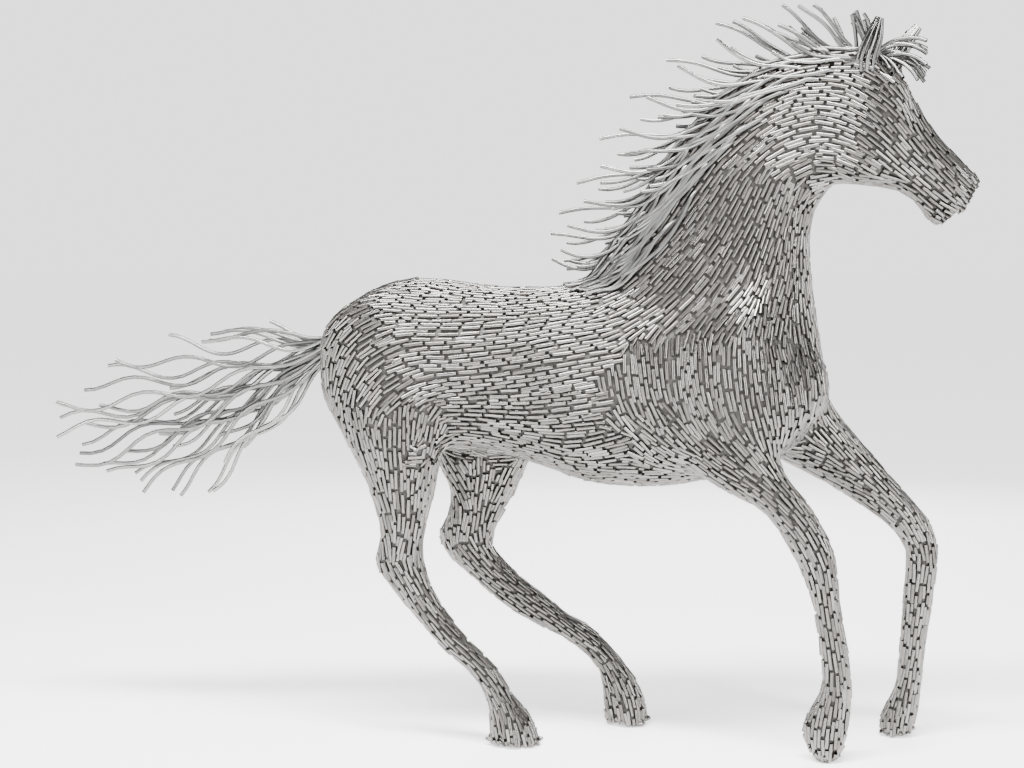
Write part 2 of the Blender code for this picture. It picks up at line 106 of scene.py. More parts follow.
SAW_SLIP = 0.0012               # how far an offcut's end strays along the row
SAWN = (0.95, 1.03)             # an offcut's length, as a share of the length set
LEAST_CHORD = 0.7               # no offcut where the row bends so that its ends come this much closer
SUNK = (0.42, 0.07)             # an offcut's depth in the skin, mean and spread, in diameters
LEAN = (0.03, 0.04)             # how far offcuts lean, sideways and outwards
OFFCUT_SHADE = (0.62, 0.24)     # how bright the offcuts are, mean and spread
STAND_PROUD = 0.6               # how far an offcut's ends stand off a bend: 0 is flush, 1 is the most
PATCH_ROOM = 0.0072             # bare places wider than twice this get a patch
PATCH_LENGTH = (0.40, 0.75)     # a patch's length, as a share of an offcut's
COVER_STEP = 0.006              # spacing of the marks that show where an offcut lies
PATCH_DEPTH = 0.0016            # patches lie this much deeper than the rows

SKIN_EASE = 2                   # times that the skin is eased before it is rounded
EASE_SHARE = 0.4
WELD_GAP = 0.00005              # corners of the solid skin this close are one
BACKING_DEPTH = 0.85            # depth of the backing below the skin, in diameters
SHARP_EDGE = 50.0               # an edge that turns more than this is sharp, in degrees

# Strokes that the rows of tubes follow, each a run of (x, z). The side says which flank they hold for.
BOTH, NEAR, FAR = 0, -1, 1
STROKES = (
    # croup and haunch
    (BOTH, ((-24.6, 53.0), (-20.5, 57.4), (-14.5, 60.2), (-7.0, 60.0))),
    (BOTH, ((-23.6, 48.0), (-20.6, 53.4), (-15.6, 56.6), (-8.0, 57.4))),
    (BOTH, ((-20.6, 46.0), (-17.6, 51.0), (-12.6, 53.6), (-7.6, 53.8))),
    (BOTH, ((-17.2, 45.5), (-14.6, 48.8), (-10.6, 50.4), (-7.4, 50.4))),
    (BOTH, ((-13.8, 44.6), (-11.6, 46.8), (-8.8, 47.4))),
    (BOTH, ((-24.0, 50.0), (-22.6, 42.4), (-20.6, 37.8))),
    # back, barrel and belly
    (BOTH, ((-5.0, 60.0), (4.0, 59.4), (10.0, 60.4))),
    (BOTH, ((-6.0, 55.6), (3.0, 56.4), (11.0, 57.8))),
    (BOTH, ((-5.6, 51.6), (3.0, 52.6), (13.0, 54.6))),
    (BOTH, ((-6.0, 47.2), (4.0, 48.4), (14.4, 50.4))),
    (BOTH, ((-6.6, 43.0), (4.0, 43.6), (15.0, 45.4))),
    (BOTH, ((-9.0, 39.4), (2.0, 38.6), (9.0, 38.0), (17.0, 40.6))),
    (BOTH, ((-12.0, 37.6), (-2.0, 37.0), (8.0, 34.6), (20.0, 33.6))),
    # withers and neck
    (BOTH, ((9.0, 59.6), (14.2, 62.2), (19.0, 66.4))),
    (BOTH, ((12.6, 57.0), (17.4, 60.6), (22.6, 66.6), (26.4, 72.4))),
    (BOTH, ((16.2, 54.4), (21.4, 58.6), (26.4, 65.4), (29.6, 71.4))),
    (BOTH, ((21.6, 54.2), (26.4, 59.6), (30.6, 67.0), (33.0, 72.6))),
    (BOTH, ((27.6, 54.2), (31.6, 60.0), (34.6, 67.6), (36.0, 71.6))),
    (BOTH, ((33.6, 54.6), (36.4, 61.0), (37.4, 67.2))),
    (BOTH, ((38.8, 52.6), (38.6, 58.6), (38.2, 65.6))),
    (BOTH, ((15.4, 67.6), (18.6, 73.4), (22.4, 79.6))),
    (BOTH, ((19.4, 68.6), (22.2, 74.2), (25.4, 79.0))),
    # shoulder and breast
    (BOTH, ((14.8, 49.4), (15.6, 44.6), (18.2, 40.0))),
    (BOTH, ((18.2, 51.6), (18.8, 46.0), (20.8, 41.4))),
    (BOTH, ((22.4, 52.0), (22.8, 46.4), (24.4, 41.6))),
    (BOTH, ((27.0, 52.0), (27.4, 46.6), (28.8, 41.8))),
    (BOTH, ((31.6, 52.0), (31.8, 46.6), (33.0, 42.0))),
    (BOTH, ((36.0, 51.6), (36.0, 46.4), (36.6, 42.6))),
    (BOTH, ((39.6, 50.0), (39.6, 45.6))),
    # poll, cheek and face
    (BOTH, ((24.0, 80.4), (28.6, 84.6), (34.6, 87.6), (41.0, 88.8), (46.4, 87.6), (50.0, 84.2))),
    (BOTH, ((50.0, 84.2), (52.4, 80.4), (55.6, 76.6), (58.4, 73.8))),
    (BOTH, ((26.0, 77.0), (30.4, 81.4), (36.4, 84.2), (42.4, 84.2), (46.8, 81.6), (51.0, 77.0),
            (56.6, 71.6))),
    (BOTH, ((29.8, 75.6), (34.0, 79.4), (39.6, 80.8), (44.0, 79.4), (48.4, 75.8), (53.0, 71.4))),
    (BOTH, ((35.0, 74.6), (39.6, 76.6), (43.8, 75.6), (47.8, 72.8))),
    (BOTH, ((39.6, 72.8), (44.4, 72.6), (49.2, 71.8))),
    (BOTH, ((50.4, 71.0), (52.4, 69.2), (54.6, 67.6))),
    # hind legs
    (NEAR, ((-18.6, 44.0), (-17.2, 37.0), (-15.2, 30.0), (-14.4, 26.4))),
    (NEAR, ((-12.6, 43.0), (-12.6, 36.0), (-12.2, 29.0), (-13.4, 24.6))),
    (NEAR, ((-8.4, 42.0), (-9.6, 35.0), (-10.4, 28.0))),
    (NEAR, ((-13.6, 24.0), (-10.4, 18.6), (-6.6, 14.2), (-2.8, 11.0), (-0.4, 8.0), (1.2, 4.6), (1.8, 0.8))),
    (FAR, ((-12.8, 43.0), (-9.6, 36.0), (-6.6, 30.0), (-7.8, 25.4))),
    (FAR, ((-4.6, 42.6), (-4.6, 36.0), (-5.4, 30.0))),
    (FAR, ((1.8, 43.0), (0.6, 37.0), (-1.8, 30.4))),
    (FAR, ((-7.6, 25.0), (-4.0, 20.8), (1.6, 17.0), (7.2, 13.2), (11.0, 10.4), (13.0, 7.4), (14.4, 3.6),
           (14.6, 0.8))),
    # forelegs
    (NEAR, ((17.0, 43.0), (22.8, 38.6), (31.0, 34.8))),
    (NEAR, ((21.6, 44.0), (27.6, 38.8), (33.6, 34.8))),
    (NEAR, ((27.4, 43.6), (31.6, 38.8), (35.0, 35.2))),
    (NEAR, ((33.0, 34.6), (38.0, 29.6), (40.4, 25.0), (41.2, 20.0), (42.2, 14.6), (42.8, 10.6))),
    (NEAR, ((42.6, 10.6), (42.0, 7.2), (41.6, 3.8), (41.8, 0.8))),
    (FAR, ((24.6, 44.6), (31.0, 41.4), (38.4, 37.4), (45.6, 33.6))),
    (FAR, ((34.0, 46.6), (40.0, 41.4), (46.6, 35.2))),
    (FAR, ((46.0, 34.0), (51.0, 29.6), (53.0, 25.4), (52.6, 20.0), (52.0, 14.6), (51.6, 10.0))),
    (FAR, ((51.6, 9.6), (50.8, 5.8), (50.4, 2.8), (50.2, 0.8))),
    # ears
    (NEAR, ((44.4, 88.2), (45.8, 91.0), (46.9, 93.4))),
    (FAR, ((47.8, 87.6), (49.6, 90.0), (51.4, 92.4))),
)
STROKE_REACH = 0.7              # how softly one stroke's rows give way to the next's, in squares
FLANK_OVERLAP = 0.4             # one flank's strokes hold this far past the middle, in squares
LEAST_FLOW = 0.25               # skin more square than this to the strokes has rows that run round it
TINY = 0.001                    # keeps a division from failing

# The parts of the skin, each with a test in squares, read from the top down.
REGIONS = (
    ("near_hind_leg", lambda x, y, z: y < 0 and x < 12 and z < 36),
    ("far_hind_leg", lambda x, y, z: y >= 0 and x < 20 and z < 36),
    ("near_foreleg", lambda x, y, z: y < 0 and z < 36),
    ("far_foreleg", lambda x, y, z: y >= 0 and x >= 20 and z < 36),
    ("head", lambda x, y, z: z > 66 and x > 40),
    ("neck", lambda x, y, z: z > 60 and x > 10),
    ("hindquarters", lambda x, y, z: x < -5),
    ("barrel", lambda x, y, z: x < 16),
    ("forequarters", lambda x, y, z: True),
)

# Where the first rows are laid on each flank.
ROW_SEEDS = ((0.0, 48.0), (-14.0, 52.0), (27.0, 60.0), (44.0, 80.0), (27.0, 46.0), (-12.0, 34.0),
             (40.0, 26.0), (-5.0, 36.0), (50.0, 27.0))
SEED_SIDE = 12.0                # how far out from the middle those places are sought, in squares
SEED_EVERY = 23                 # one face in so many is tried for a row where none has reached

EYE = (47.6, 84.4)
EYE_SIDE = 5.0                  # how far out from the middle an eye is sought, in squares
EYE_SOCKET = 0.009
EYE_DEPTHS = (0.016, 0.008, 0.003)
# The lips: where they begin, the slope of the tubes that end there, how squarely the skin faces it,
# the tubes' spacing in diameters, their length as a share of an offcut's, how far they splay, and how
# far they stand out.
LIPS_FROM = (51.0, 62.0)
LIPS_SLOPE = -40.0
LIPS_FACING = 0.62
LIPS_SPACING = 0.98
LIPS_LENGTH = (0.55, 0.9)
LIPS_SPLAY = (0.0, 0.12)
LIPS_PROUD = (0.001, 0.008)
LIPS_HEADING = Vector((math.cos(math.radians(LIPS_SLOPE)), 0, math.sin(math.radians(LIPS_SLOPE))))
# Each ear as the solid model's sections: rear edge, front edge, middle across and half-width.
NEAR_EAR = (
    ((43.9, 86.4), (46.5, 86.4), -3.0, 1.3),
    ((43.9, 88.0), (46.8, 88.2), -3.3, 1.4),
    ((44.9, 90.6), (47.3, 90.4), -3.6, 1.1),
    ((46.5, 93.0), (47.2, 92.8), -3.9, 0.35),
)
FAR_EAR = (
    ((46.0, 86.2), (48.8, 85.8), 3.0, 1.3),
    ((46.9, 87.8), (49.4, 87.2), 3.3, 1.4),
    ((48.6, 90.2), (50.5, 89.4), 3.6, 1.1),
    ((51.2, 92.7), (51.8, 92.2), 3.9, 0.35),
)
EAR_TUBES = 9
EAR_STEPS = 5
EAR_FILL = 0.8                  # how much of the ear's width the tubes' middles span
EAR_SKIN = (43.0, 2.3, 88.2)    # beyond these places, nothing but the ears' own tubes

# The rules of the solid model's strands, and more tubes between them.
DOCK = (-22.6, 0.0, 52.3)
DOCK_SLOPE = -36.0
TAIL_COLUMNS = 5
TAIL_ROWS = 4
TAIL_START = (-18.0, -45.0)
TAIL_END = (14.0, -46.0)
TAIL_REACH = ((0.0, 0.46), (0.12, 0.80), (0.32, 1.0), (0.5, 0.94), (0.72, 0.80), (1.0, 0.60))
TAIL_SPREAD = 0.9
TAIL_WAVE = 22.0
STRAND_PITCH = 0.0185
# The tubes between those columns: length and wave as shares, and how far they stray from their row.
TAIL_FILL_LENGTH = (0.62, 1.0)
TAIL_FILL_WAVE = (0.8, 1.3)
TAIL_FILL_STRAY = 0.3
CREST = ((12.2, 62.0), (14.2, 65.0), (17.0, 69.2), (19.4, 72.8), (22.0, 77.0), (25.2, 81.0),
         (29.6, 84.6), (34.6, 87.4), (39.8, 88.6), (44.6, 88.4), (48.0, 86.6))
CREST_STEPS = 4
MANE_ROWS = (
    (-2.5, 1.6, (0.14, 0.78), 8),
    (0.0, 0.0, (0.03, 0.99), 10),
    (2.5, 1.6, (0.10, 0.75), 8),
)
MANE_LIFT = 22.0
MANE_WAVE = 15.0
MANE_SPREAD = 0.35
MANE_END = ((0.0, 22.0), (0.3, 0.0), (0.55, 8.0), (0.75, 24.0), (0.9, 40.0), (1.0, 62.0))
MANE_REACH = ((0.0, 0.55), (0.2, 0.95), (0.35, 1.0), (0.75, 0.95), (0.9, 0.75), (1.0, 0.6))
# Further rows of the mane, which lie along the neck: place across, depth below the crest, part of
# the crest, tubes, lift at the root, lift at the tip and share of a full length.
MANE_FILL = (
    (-3.4, 5.0, (0.16, 0.62), 8, -4.0, -20.0, 1.0),
    (-3.2, 3.7, (0.08, 0.76), 12, -7.0, -14.0, 1.0),
    (-2.9, 2.5, (0.04, 0.86), 14, -9.0, -8.0, 1.0),
    (-2.3, 1.4, (0.00, 0.94), 15, -8.0, -4.0, 1.0),
    (-1.3, 0.5, (0.00, 0.98), 15, -3.0, 2.0, 1.0),
    (1.3, 0.5, (0.02, 0.98), 14, -3.0, 2.0, 1.0),
    (2.3, 1.4, (0.00, 0.92), 13, -8.0, -4.0, 1.0),
    (2.9, 2.5, (0.05, 0.84), 13, -9.0, -8.0, 1.0),
    (3.2, 3.7, (0.08, 0.72), 10, -7.0, -14.0, 1.0),
    (-1.5, 0.4, (0.78, 1.00), 7, 44.0, 4.0, 0.70),
    (1.5, 0.4, (0.76, 1.00), 6, 46.0, 2.0, 0.70),
)
MANE_FLICK = 2.4                # how late along a tube the flick comes
MANE_FILL_END = 0.8             # how much of the solid mane's end slope those tubes take
# How far each of those tubes strays from its row's rule.
MANE_STRAY = {
    "place": (-0.35, 0.35), "depth": (-0.5, 0.5), "lift": (-5, 6), "flick": (-14, 12),
    "length": (0.75, 1.3), "across": (-0.25, 0.25), "kink": (-9, 9),
}
FORELOCK_ROOT = (46.2, 0.0, 88.0)
FORELOCK_ROWS = 2
FORELOCK_COLUMNS = 4
FORELOCK_START = (52.0, 32.0)
FORELOCK_END = (-24.0, -64.0)
FORELOCK_SPREAD = 0.8
# Further forelock tubes, which fall over the forehead: root (x, y), first and last slope, and length.
FORELOCK_FILL = (
    ((44.6, -1.2), 2.0, -88.0, 0.104),
    ((46.0, -1.3), -12.0, -78.0, 0.100),
    ((47.2, -1.2), 4.0, -66.0, 0.112),
    ((46.6, -0.8), 26.0, -50.0, 0.108),
    ((47.8, -0.4), 4.0, -60.0, 0.116),
    ((45.8, -0.3), 38.0, -20.0, 0.104),
    ((47.4, 0.3), 18.0, -40.0, 0.120),
    ((46.0, 0.7), 42.0, 8.0, 0.096),
    ((47.8, 0.9), 10.0, -50.0, 0.108),
    ((46.4, 1.2), 24.0, -56.0, 0.108),
    ((44.8, 1.1), 74.0, 96.0, 0.074),
    ((44.0, -0.9), 92.0, 104.0, 0.080),
    ((42.8, 0.6), 108.0, 118.0, 0.084),
    ((45.6, -1.3), 88.0, 112.0, 0.070),
)
FORELOCK_FROM = 89.0            # the height from which their roots are sought, in squares
FORELOCK_FAN = 1.4              # how far those tubes spread across, as a share of their place

STRAND_STEPS = 60               # steps in which a strand's path is followed
STRAND_RINGS = 26
STRAND_CLEAR = 0.55             # how far a draped tube's middle stays off the skin, in diameters
STRAND_RISE = 5                 # steps in which it comes up from its root
STRAND_EASE = 3
STRAND_SHADE = (0.6, 0.2)       # how bright the strands are, mean and spread
STRAND_BORE = 2.5               # depth of the hole at a strand's tip, in diameters
STRAND_TINT = 0.3               # a strand's place between an offcut's middle and its tinted end

# The steel: the size of its mottling, of the marks along a drawn tube, and its finish.
MOTTLE_SCALE = 55.0
DRAWN_SCALE = (700.0, 700.0, 2.0)
# Painted shade: the bore's inner wall is coloured near black, where shade falls inside the tube.
BORE_PAINTED_SHADE = (0.018, 0.017, 0.016)
OFFCUT_ROUGH = 0.23
STRAND_ROUGH = 0.38
# Size of the lumps in the painted shade of the dark sheet behind the tubes.
SHADE_SHEET_LUMPS = 120.0

# The stage. Each strip light has a place, what it faces, a size and the setting that gives its power.
FLOOR_RADIUS = 60.0
OVERHEAD_WIDTH = 40.0           # how wide the light overhead is, in degrees
OVERHEAD_TILT = (24.0, -6.0, 0.0)
STRIP_LIGHTS = (
    ("top_softbox", (0.2, -1.5, 4.0), (0.0, 0.0, 0.9), (3.2, 0.5), "key"),
    ("front_light", (-3.4, -4.6, 1.9), (0.0, 0.0, 0.9), (0.6, 2.6), "front"),
    ("side_light", (4.6, -3.2, 1.9), (0.2, 0.0, 0.9), (0.6, 2.6), "front"),
    ("back_light", (0.4, 4.8, 2.6), (0.0, 0.0, 0.9), (2.4, 0.8), "front"),
)
# The room's light by height, from the horizon at 0 to straight up at 1, with the setting that gives it.
ROOM_STOPS = ((0.0, "horizon"), (0.13, "horizon"), (0.20, "dim"), (0.45, "dim"), (0.85, "sky"))


class TubeSizes(bpy.types.PropertyGroup):
    """The offcuts that the skin is laid from."""

    diameter: bpy.props.FloatProperty(
        name="Diameter", description="Outer diameter of every tube", default=0.0095, unit="LENGTH")
    wall: bpy.props.FloatProperty(
        name="Wall", description="Wall thickness of the tube", default=0.0011, unit="LENGTH")
    length: bpy.props.FloatProperty(
        name="Offcut", description="Length that the offcuts are sawn to", default=0.044, unit="LENGTH")
    end_gap: bpy.props.FloatProperty(
        name="End gap", description="Gap from one offcut to the next in a row", default=0.0078, unit="LENGTH")
    row_pitch: bpy.props.FloatProperty(
        name="Row pitch", description="From one row's middle to the next", default=0.0099, unit="LENGTH")
    row_closest: bpy.props.FloatProperty(
        name="Closest rows", description="A row stops where it comes this close to another",
        default=0.0084, unit="LENGTH")
    squeezed_pitch: bpy.props.FloatProperty(
        name="Squeezed pitch", description="Room that a row squeezed in between others still needs",
        default=0.0080, unit="LENGTH")
    squeezed_closest: bpy.props.FloatProperty(
        name="Closest squeezed rows", description="Where a squeezed row stops", default=0.0072, unit="LENGTH")
    shortest: bpy.props.FloatProperty(
        name="Shortest", description="Shortest offcut worth welding in", default=0.012, unit="LENGTH")
    sides: bpy.props.IntProperty(name="Sides", description="Sides of each tube's mesh", default=10, min=6)


class SteelLook(bpy.types.PropertyGroup):
    """The finish of the steel, and the painted shade of the backing."""

    bright: bpy.props.FloatVectorProperty(
        name="Bright steel", description="Clean drawn steel", subtype="COLOR", default=(0.22, 0.22, 0.216))
    dull: bpy.props.FloatVectorProperty(
        name="Dull steel", description="The darkest of the offcuts", subtype="COLOR",
        default=(0.06, 0.06, 0.06))
    warm: bpy.props.FloatVectorProperty(
        name="Heat tint", description="Straw and pink tint beside a weld", subtype="COLOR",
        default=(0.25, 0.21, 0.18))
    hair: bpy.props.FloatVectorProperty(
        name="Bent tube", description="Satin steel of the mane and tail", subtype="COLOR",
        default=(0.27, 0.27, 0.262))
    # Painted shade: the backing's dark colour stands for the shade in the gaps between the tubes.
    backing: bpy.props.FloatVectorProperty(
        name="Backing", description="Dark weld scale behind the tubes", subtype="COLOR",
        default=(0.034, 0.032, 0.030))


class HairSizes(bpy.types.PropertyGroup):
    """The longer bent tubes."""

    tail: bpy.props.FloatProperty(
        name="Tail", description="Longest tail tube", default=0.82, unit="LENGTH")
    mane: bpy.props.FloatProperty(
        name="Mane", description="A full mane tube", default=0.25, unit="LENGTH")
    forelock: bpy.props.FloatProperty(
        name="Forelock", description="A full forelock tube", default=0.13, unit="LENGTH")
    wave: bpy.props.FloatProperty(
        name="Wave", description="Length of the waves bent into the tubes", default=0.27, unit="LENGTH")


class StageLook(bpy.types.PropertyGroup):
    """Floor, room and light."""

    floor: bpy.props.FloatVectorProperty(
        name="Floor", description="Colour of the floor", subtype="COLOR", default=(0.96, 0.96, 0.96))
    glow: bpy.props.FloatProperty(
        name="Floor glow", description="Light that the floor gives off", default=1.3)
    horizon: bpy.props.FloatProperty(
        name="Horizon", description="Strength of the room's light at the horizon", default=2.2)
    sky: bpy.props.FloatProperty(
        name="Room light", description="Strength of the room's light overhead", default=0.55)
    dim: bpy.props.FloatProperty(
        name="Room side", description="Strength of the room's light from the sides", default=0.20)
    overhead: bpy.props.FloatProperty(
        name="Overhead", description="Strength of the wide light overhead", default=1.8)
    key: bpy.props.FloatProperty(
        name="Top light", description="Power of the strip light overhead", default=640.0, unit="POWER")
    front: bpy.props.FloatProperty(
        name="Side lights", description="Power of each upright strip light", default=225.0, unit="POWER")


def place(square_point):
    """A point in squares, in the frame's metres."""
    return Vector(square_point) * SQUARE + ORIGIN


class Wire:
    """A shader socket that takes part in sums."""

    def __init__(self, shader, socket):
        self.shader = shader
        self.socket = socket

    def _sum(self, operation, first, second):
        return self.shader.node("ShaderNodeMath", {"operation": operation}, {0: first, 1: second})

    def __add__(self, other):
        return self._sum("ADD", self, other)

    __radd__ = __add__

    def __sub__(self, other):
        return self._sum("SUBTRACT", self, other)

    def __rsub__(self, other):
        return self._sum("SUBTRACT", other, self)

    def __mul__(self, other):
        return self._sum("MULTIPLY", self, other)

    __rmul__ = __mul__

    def __pow__(self, other):
        return self._sum("POWER", self, other)

    def clamped(self):
        return self.shader.node("ShaderNodeClamp", {}, {"Value": self})


class Shader:
    """The nodes of a material or a world, made by one method."""

    def __init__(self, owner, surface="Principled BSDF"):
        owner.use_nodes = True
        self.owner = owner
        self.tree = owner.node_tree
        self.surface = self.tree.nodes[surface]

    def node(self, kind, settings, values, output=0):
        made = self.tree.nodes.new(kind)
        for key, value in settings.items():
            if key == "stops":
                self._set_stops(made.color_ramp, value)
            else:
                setattr(made, key, value)
        for key, value in values.items():
            self.join(value, made.inputs[key])
        return Wire(self, made.outputs[output])

    def _set_stops(self, ramp, stops):
        while len(ramp.elements) < len(stops):
            ramp.elements.new(0.5)
        for element, (position, colour) in zip(ramp.elements, stops):
            element.position = position
            element.color = colour

    def join(self, value, socket):
        if isinstance(value, Wire):
            self.tree.links.new(value.socket, socket)
        elif isinstance(value, (tuple, list)) and socket.type == "RGBA" and len(value) == 3:
            socket.default_value = (*value, 1.0)
        else:
            socket.default_value = value

    def set(self, **values):
        """Sets the surface's sockets, named with underscores for spaces."""
        for key, value in values.items():
            self.join(value, self.surface.inputs[key.replace("_", " ")])

    def mix(self, factor, first, second):
        return self.node("ShaderNodeMix", {"data_type": "RGBA"}, {0: factor, 6: first, 7: second}, 2)

    def attribute(self, name):
        return self.node("ShaderNodeAttribute", {"attribute_name": name}, {}, 2)

    def objectspace(self, scale):
        where = self.node("ShaderNodeTexCoord", {}, {}, 3)
        return self.node("ShaderNodeMapping", {}, {"Vector": where, "Scale": scale})

    def noise(self, where, scale, detail=3.0):
        return self.node("ShaderNodeTexNoise", {}, {"Vector": where, "Scale": scale, "Detail": detail})


def tube_steel(name, bright, dull, warm, roughness):
    """Drawn steel tube. Each one has its own random tone, with heat tint near its ends and painted shade that
    colours its bore near black.
    """
    steel = Shader(bpy.data.materials.new(name))
    shade = steel.attribute("shade")
    along = steel.attribute("along")
    bore = steel.attribute("bore")
    where = steel.objectspace((1.0, 1.0, 1.0))
    mottle = steel.noise(where, MOTTLE_SCALE)
    drawn = steel.node("ShaderNodeAttribute", {"attribute_name": "drawn"}, {}, 1)
    drawn = steel.node("ShaderNodeMapping", {}, {"Vector": drawn, "Scale": DRAWN_SCALE})
    apart = steel.node("ShaderNodeVectorMath", {"operation": "ADD"},
                       {0: drawn, 1: steel.node("ShaderNodeVectorMath", {"operation": "SCALE"},
                                                {0: where, "Scale": 30.0})})
    scratches = steel.noise(apart, 1.0, 4.0)
    colour = steel.mix((shade * 0.8 + mottle * 0.3 + scratches * 0.5 - 0.33).clamped(), dull, bright)
    near_end = (along * 2.0) ** 6.0
    tint = (near_end * mottle * 1.1).clamped()
    colour = steel.mix(tint * 0.4, colour, warm)
    # Painted shade: the inner wall of the bore is coloured near black, as if in shadow.
    colour = steel.mix(bore, colour, BORE_PAINTED_SHADE)
    rough = (roughness + (scratches - 0.5) * 0.24 + shade * -0.1 + near_end * 0.1 + bore * 0.4).clamped()
    bump = steel.node("ShaderNodeBump", {}, {"Strength": 0.10, "Distance": 0.0004, "Height": scratches})
    steel.set(Base_Color=colour, Metallic=1.0, Roughness=rough, Normal=bump)
    return steel.owner


def gap_shade_material(colour):
    """Painted shade behind the tubes: a dark, rough sheet with lumpy tint that stands for the shade in the
    gaps.
    """
    scale = Shader(bpy.data.materials.new("weld_scale"))
    where = scale.objectspace((1.0, 1.0, 1.0))
    lumps = scale.noise(where, SHADE_SHEET_LUMPS)
    tinted = scale.mix(lumps, colour, tuple(3.2 * c for c in colour))
    bump = scale.node("ShaderNodeBump", {}, {"Strength": 0.6, "Distance": 0.002, "Height": lumps})
    scale.set(Base_Color=tinted, Metallic=0.55, Roughness=0.62, Normal=bump)
    return scale.owner


def stage_white(colour, glow):
    """Matt paper of the floor, lit from beneath."""
    paper = Shader(bpy.data.materials.new("studio_paper"))
    grain = paper.noise(paper.objectspace((1.0, 1.0, 1.0)), 6.0)
    tinted = paper.mix(grain * 0.04, colour, (0.86, 0.86, 0.86))
    paper.set(Base_Color=tinted, Roughness=0.9, Emission_Color=tinted, Emission_Strength=glow)
    return paper.owner


def link(name, data):
    """A new object in the scene with a mesh, a light or a camera."""
    thing = bpy.data.objects.new(name, data)
    bpy.context.scene.collection.objects.link(thing)
    return thing


def finish_piece(thing, slot, *nodes):
    """Rides a finished piece on the frame and hides the solids that it stands for."""
    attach(thing, "root")
    if nodes:
        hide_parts(*nodes)


def evaluated_mesh(thing):
    """The object's mesh with its modifiers applied. The object itself is removed."""
    graph = bpy.context.evaluated_depsgraph_get()
    mesh = bpy.data.meshes.new_from_object(thing.evaluated_get(graph))
    old = thing.data
    bpy.data.objects.remove(thing)
    bpy.data.meshes.remove(old)
    return mesh


def skin_mesh(levels):
    """A smooth copy of the solid skin."""
    work = bmesh.new()
    work.from_mesh(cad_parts["horse_body"].data)
    bmesh.ops.remove_doubles(work, verts=work.verts, dist=WELD_GAP)
    mesh = bpy.data.meshes.new("skin")
    work.to_mesh(mesh)
    work.free()
    thing = link("skin", mesh)
    soften = thing.modifiers.new("Ease", "SMOOTH")
    soften.factor = EASE_SHARE
    soften.iterations = SKIN_EASE
    rounded = thing.modifiers.new("Round", "SUBSURF")
    rounded.levels = levels
    rounded.render_levels = levels
    return evaluated_mesh(thing)


class Skin:
    """The surface that the tubes are laid on: a tree for nearest points, and a direction per face."""

    def __init__(self):
        mesh = skin_mesh(2)
        mesh.calc_loop_triangles()
        count = len(mesh.vertices)
        points = np.empty(3 * count)
        mesh.vertices.foreach_get("co", points)
        self.points = points.reshape(-1, 3)
        corners = np.empty(3 * len(mesh.loop_triangles), dtype=np.int32)
        mesh.loop_triangles.foreach_get("vertices", corners)
        self.faces = corners.reshape(-1, 3)
        self.tree = BVHTree.FromPolygons(self.points.tolist(), self.faces.tolist())
        normals = np.empty(3 * count)
        mesh.vertices.foreach_get("normal", normals)
        self.normals = normals.reshape(-1, 3)[self.faces].mean(1)
        self.normals /= np.linalg.norm(self.normals, axis=1, keepdims=True)
        self.middles = self.points[self.faces].mean(1)
        self.flows = self.flow_field()
        self.normal_vectors = [Vector(n) for n in self.normals]
        self.flow_vectors = [Vector(f) for f in self.flows]
        bpy.data.meshes.remove(mesh)

    def flow_field(self):
        """The rows' direction on each face: the nearest strokes' direction, laid onto the skin."""
        squares = (self.middles - np.array(ORIGIN)) / SQUARE
        total = np.zeros((len(squares), 2))
        for side, run in STROKES:
            held = np.ones(len(squares), bool)
            if side:
                held = squares[:, 1] * side > -FLANK_OVERLAP
            here = squares[held][:, [0, 2]]
            for first, second in zip(run, run[1:]):
                start = np.array(first)
                reach = np.array(second) - start
                share = np.clip((here - start) @ reach / (reach @ reach), 0, 1)
                away = np.sum((here - start - share[:, None] * reach) ** 2, 1)
                weight = 1 / (away + STROKE_REACH ** 2) ** 2
                turn = 2 * math.atan2(reach[1], reach[0])
                total[held] += weight[:, None] * np.array([math.cos(turn), math.sin(turn)])
        angle = np.arctan2(total[:, 1], total[:, 0]) / 2
        flat = np.stack([np.cos(angle), np.zeros(len(angle)), np.sin(angle)], 1)
        laid = flat - np.sum(flat * self.normals, 1)[:, None] * self.normals
        length = np.linalg.norm(laid, axis=1, keepdims=True)
        spare = np.cross(self.normals, np.array([0.0, 1.0, 0.0]))
        spare /= np.maximum(np.linalg.norm(spare, axis=1, keepdims=True), TINY)
        return np.where(length > LEAST_FLOW, laid / np.maximum(length, TINY), spare)

    def nearest(self, point):
        where, _, face, _ = self.tree.find_nearest(point)
        return where, face

    def height_above(self, point):
        where, face = self.nearest(point)
        return (point - where).dot(self.normal_vectors[face])


class Row:
    """One row over the skin: its points with their normals, and where its first offcut starts."""

    def __init__(self, points, seed, phase):
        self.points = points
        self.seed = seed
        self.phase = phase

    def heading(self, index):
        before = self.points[max(index - 1, 0)][0]
        after = self.points[min(index + 1, len(self.points) - 1)][0]
        return after - before

    def at(self, along):
        """The point and normal at a distance along the row."""
        position = along / TRACE_STEP
        index = min(int(position), len(self.points) - 2)
        share = position - index
        first, second = self.points[index], self.points[index + 1]
        return first[0].lerp(second[0], share), first[1].lerp(second[1], share)


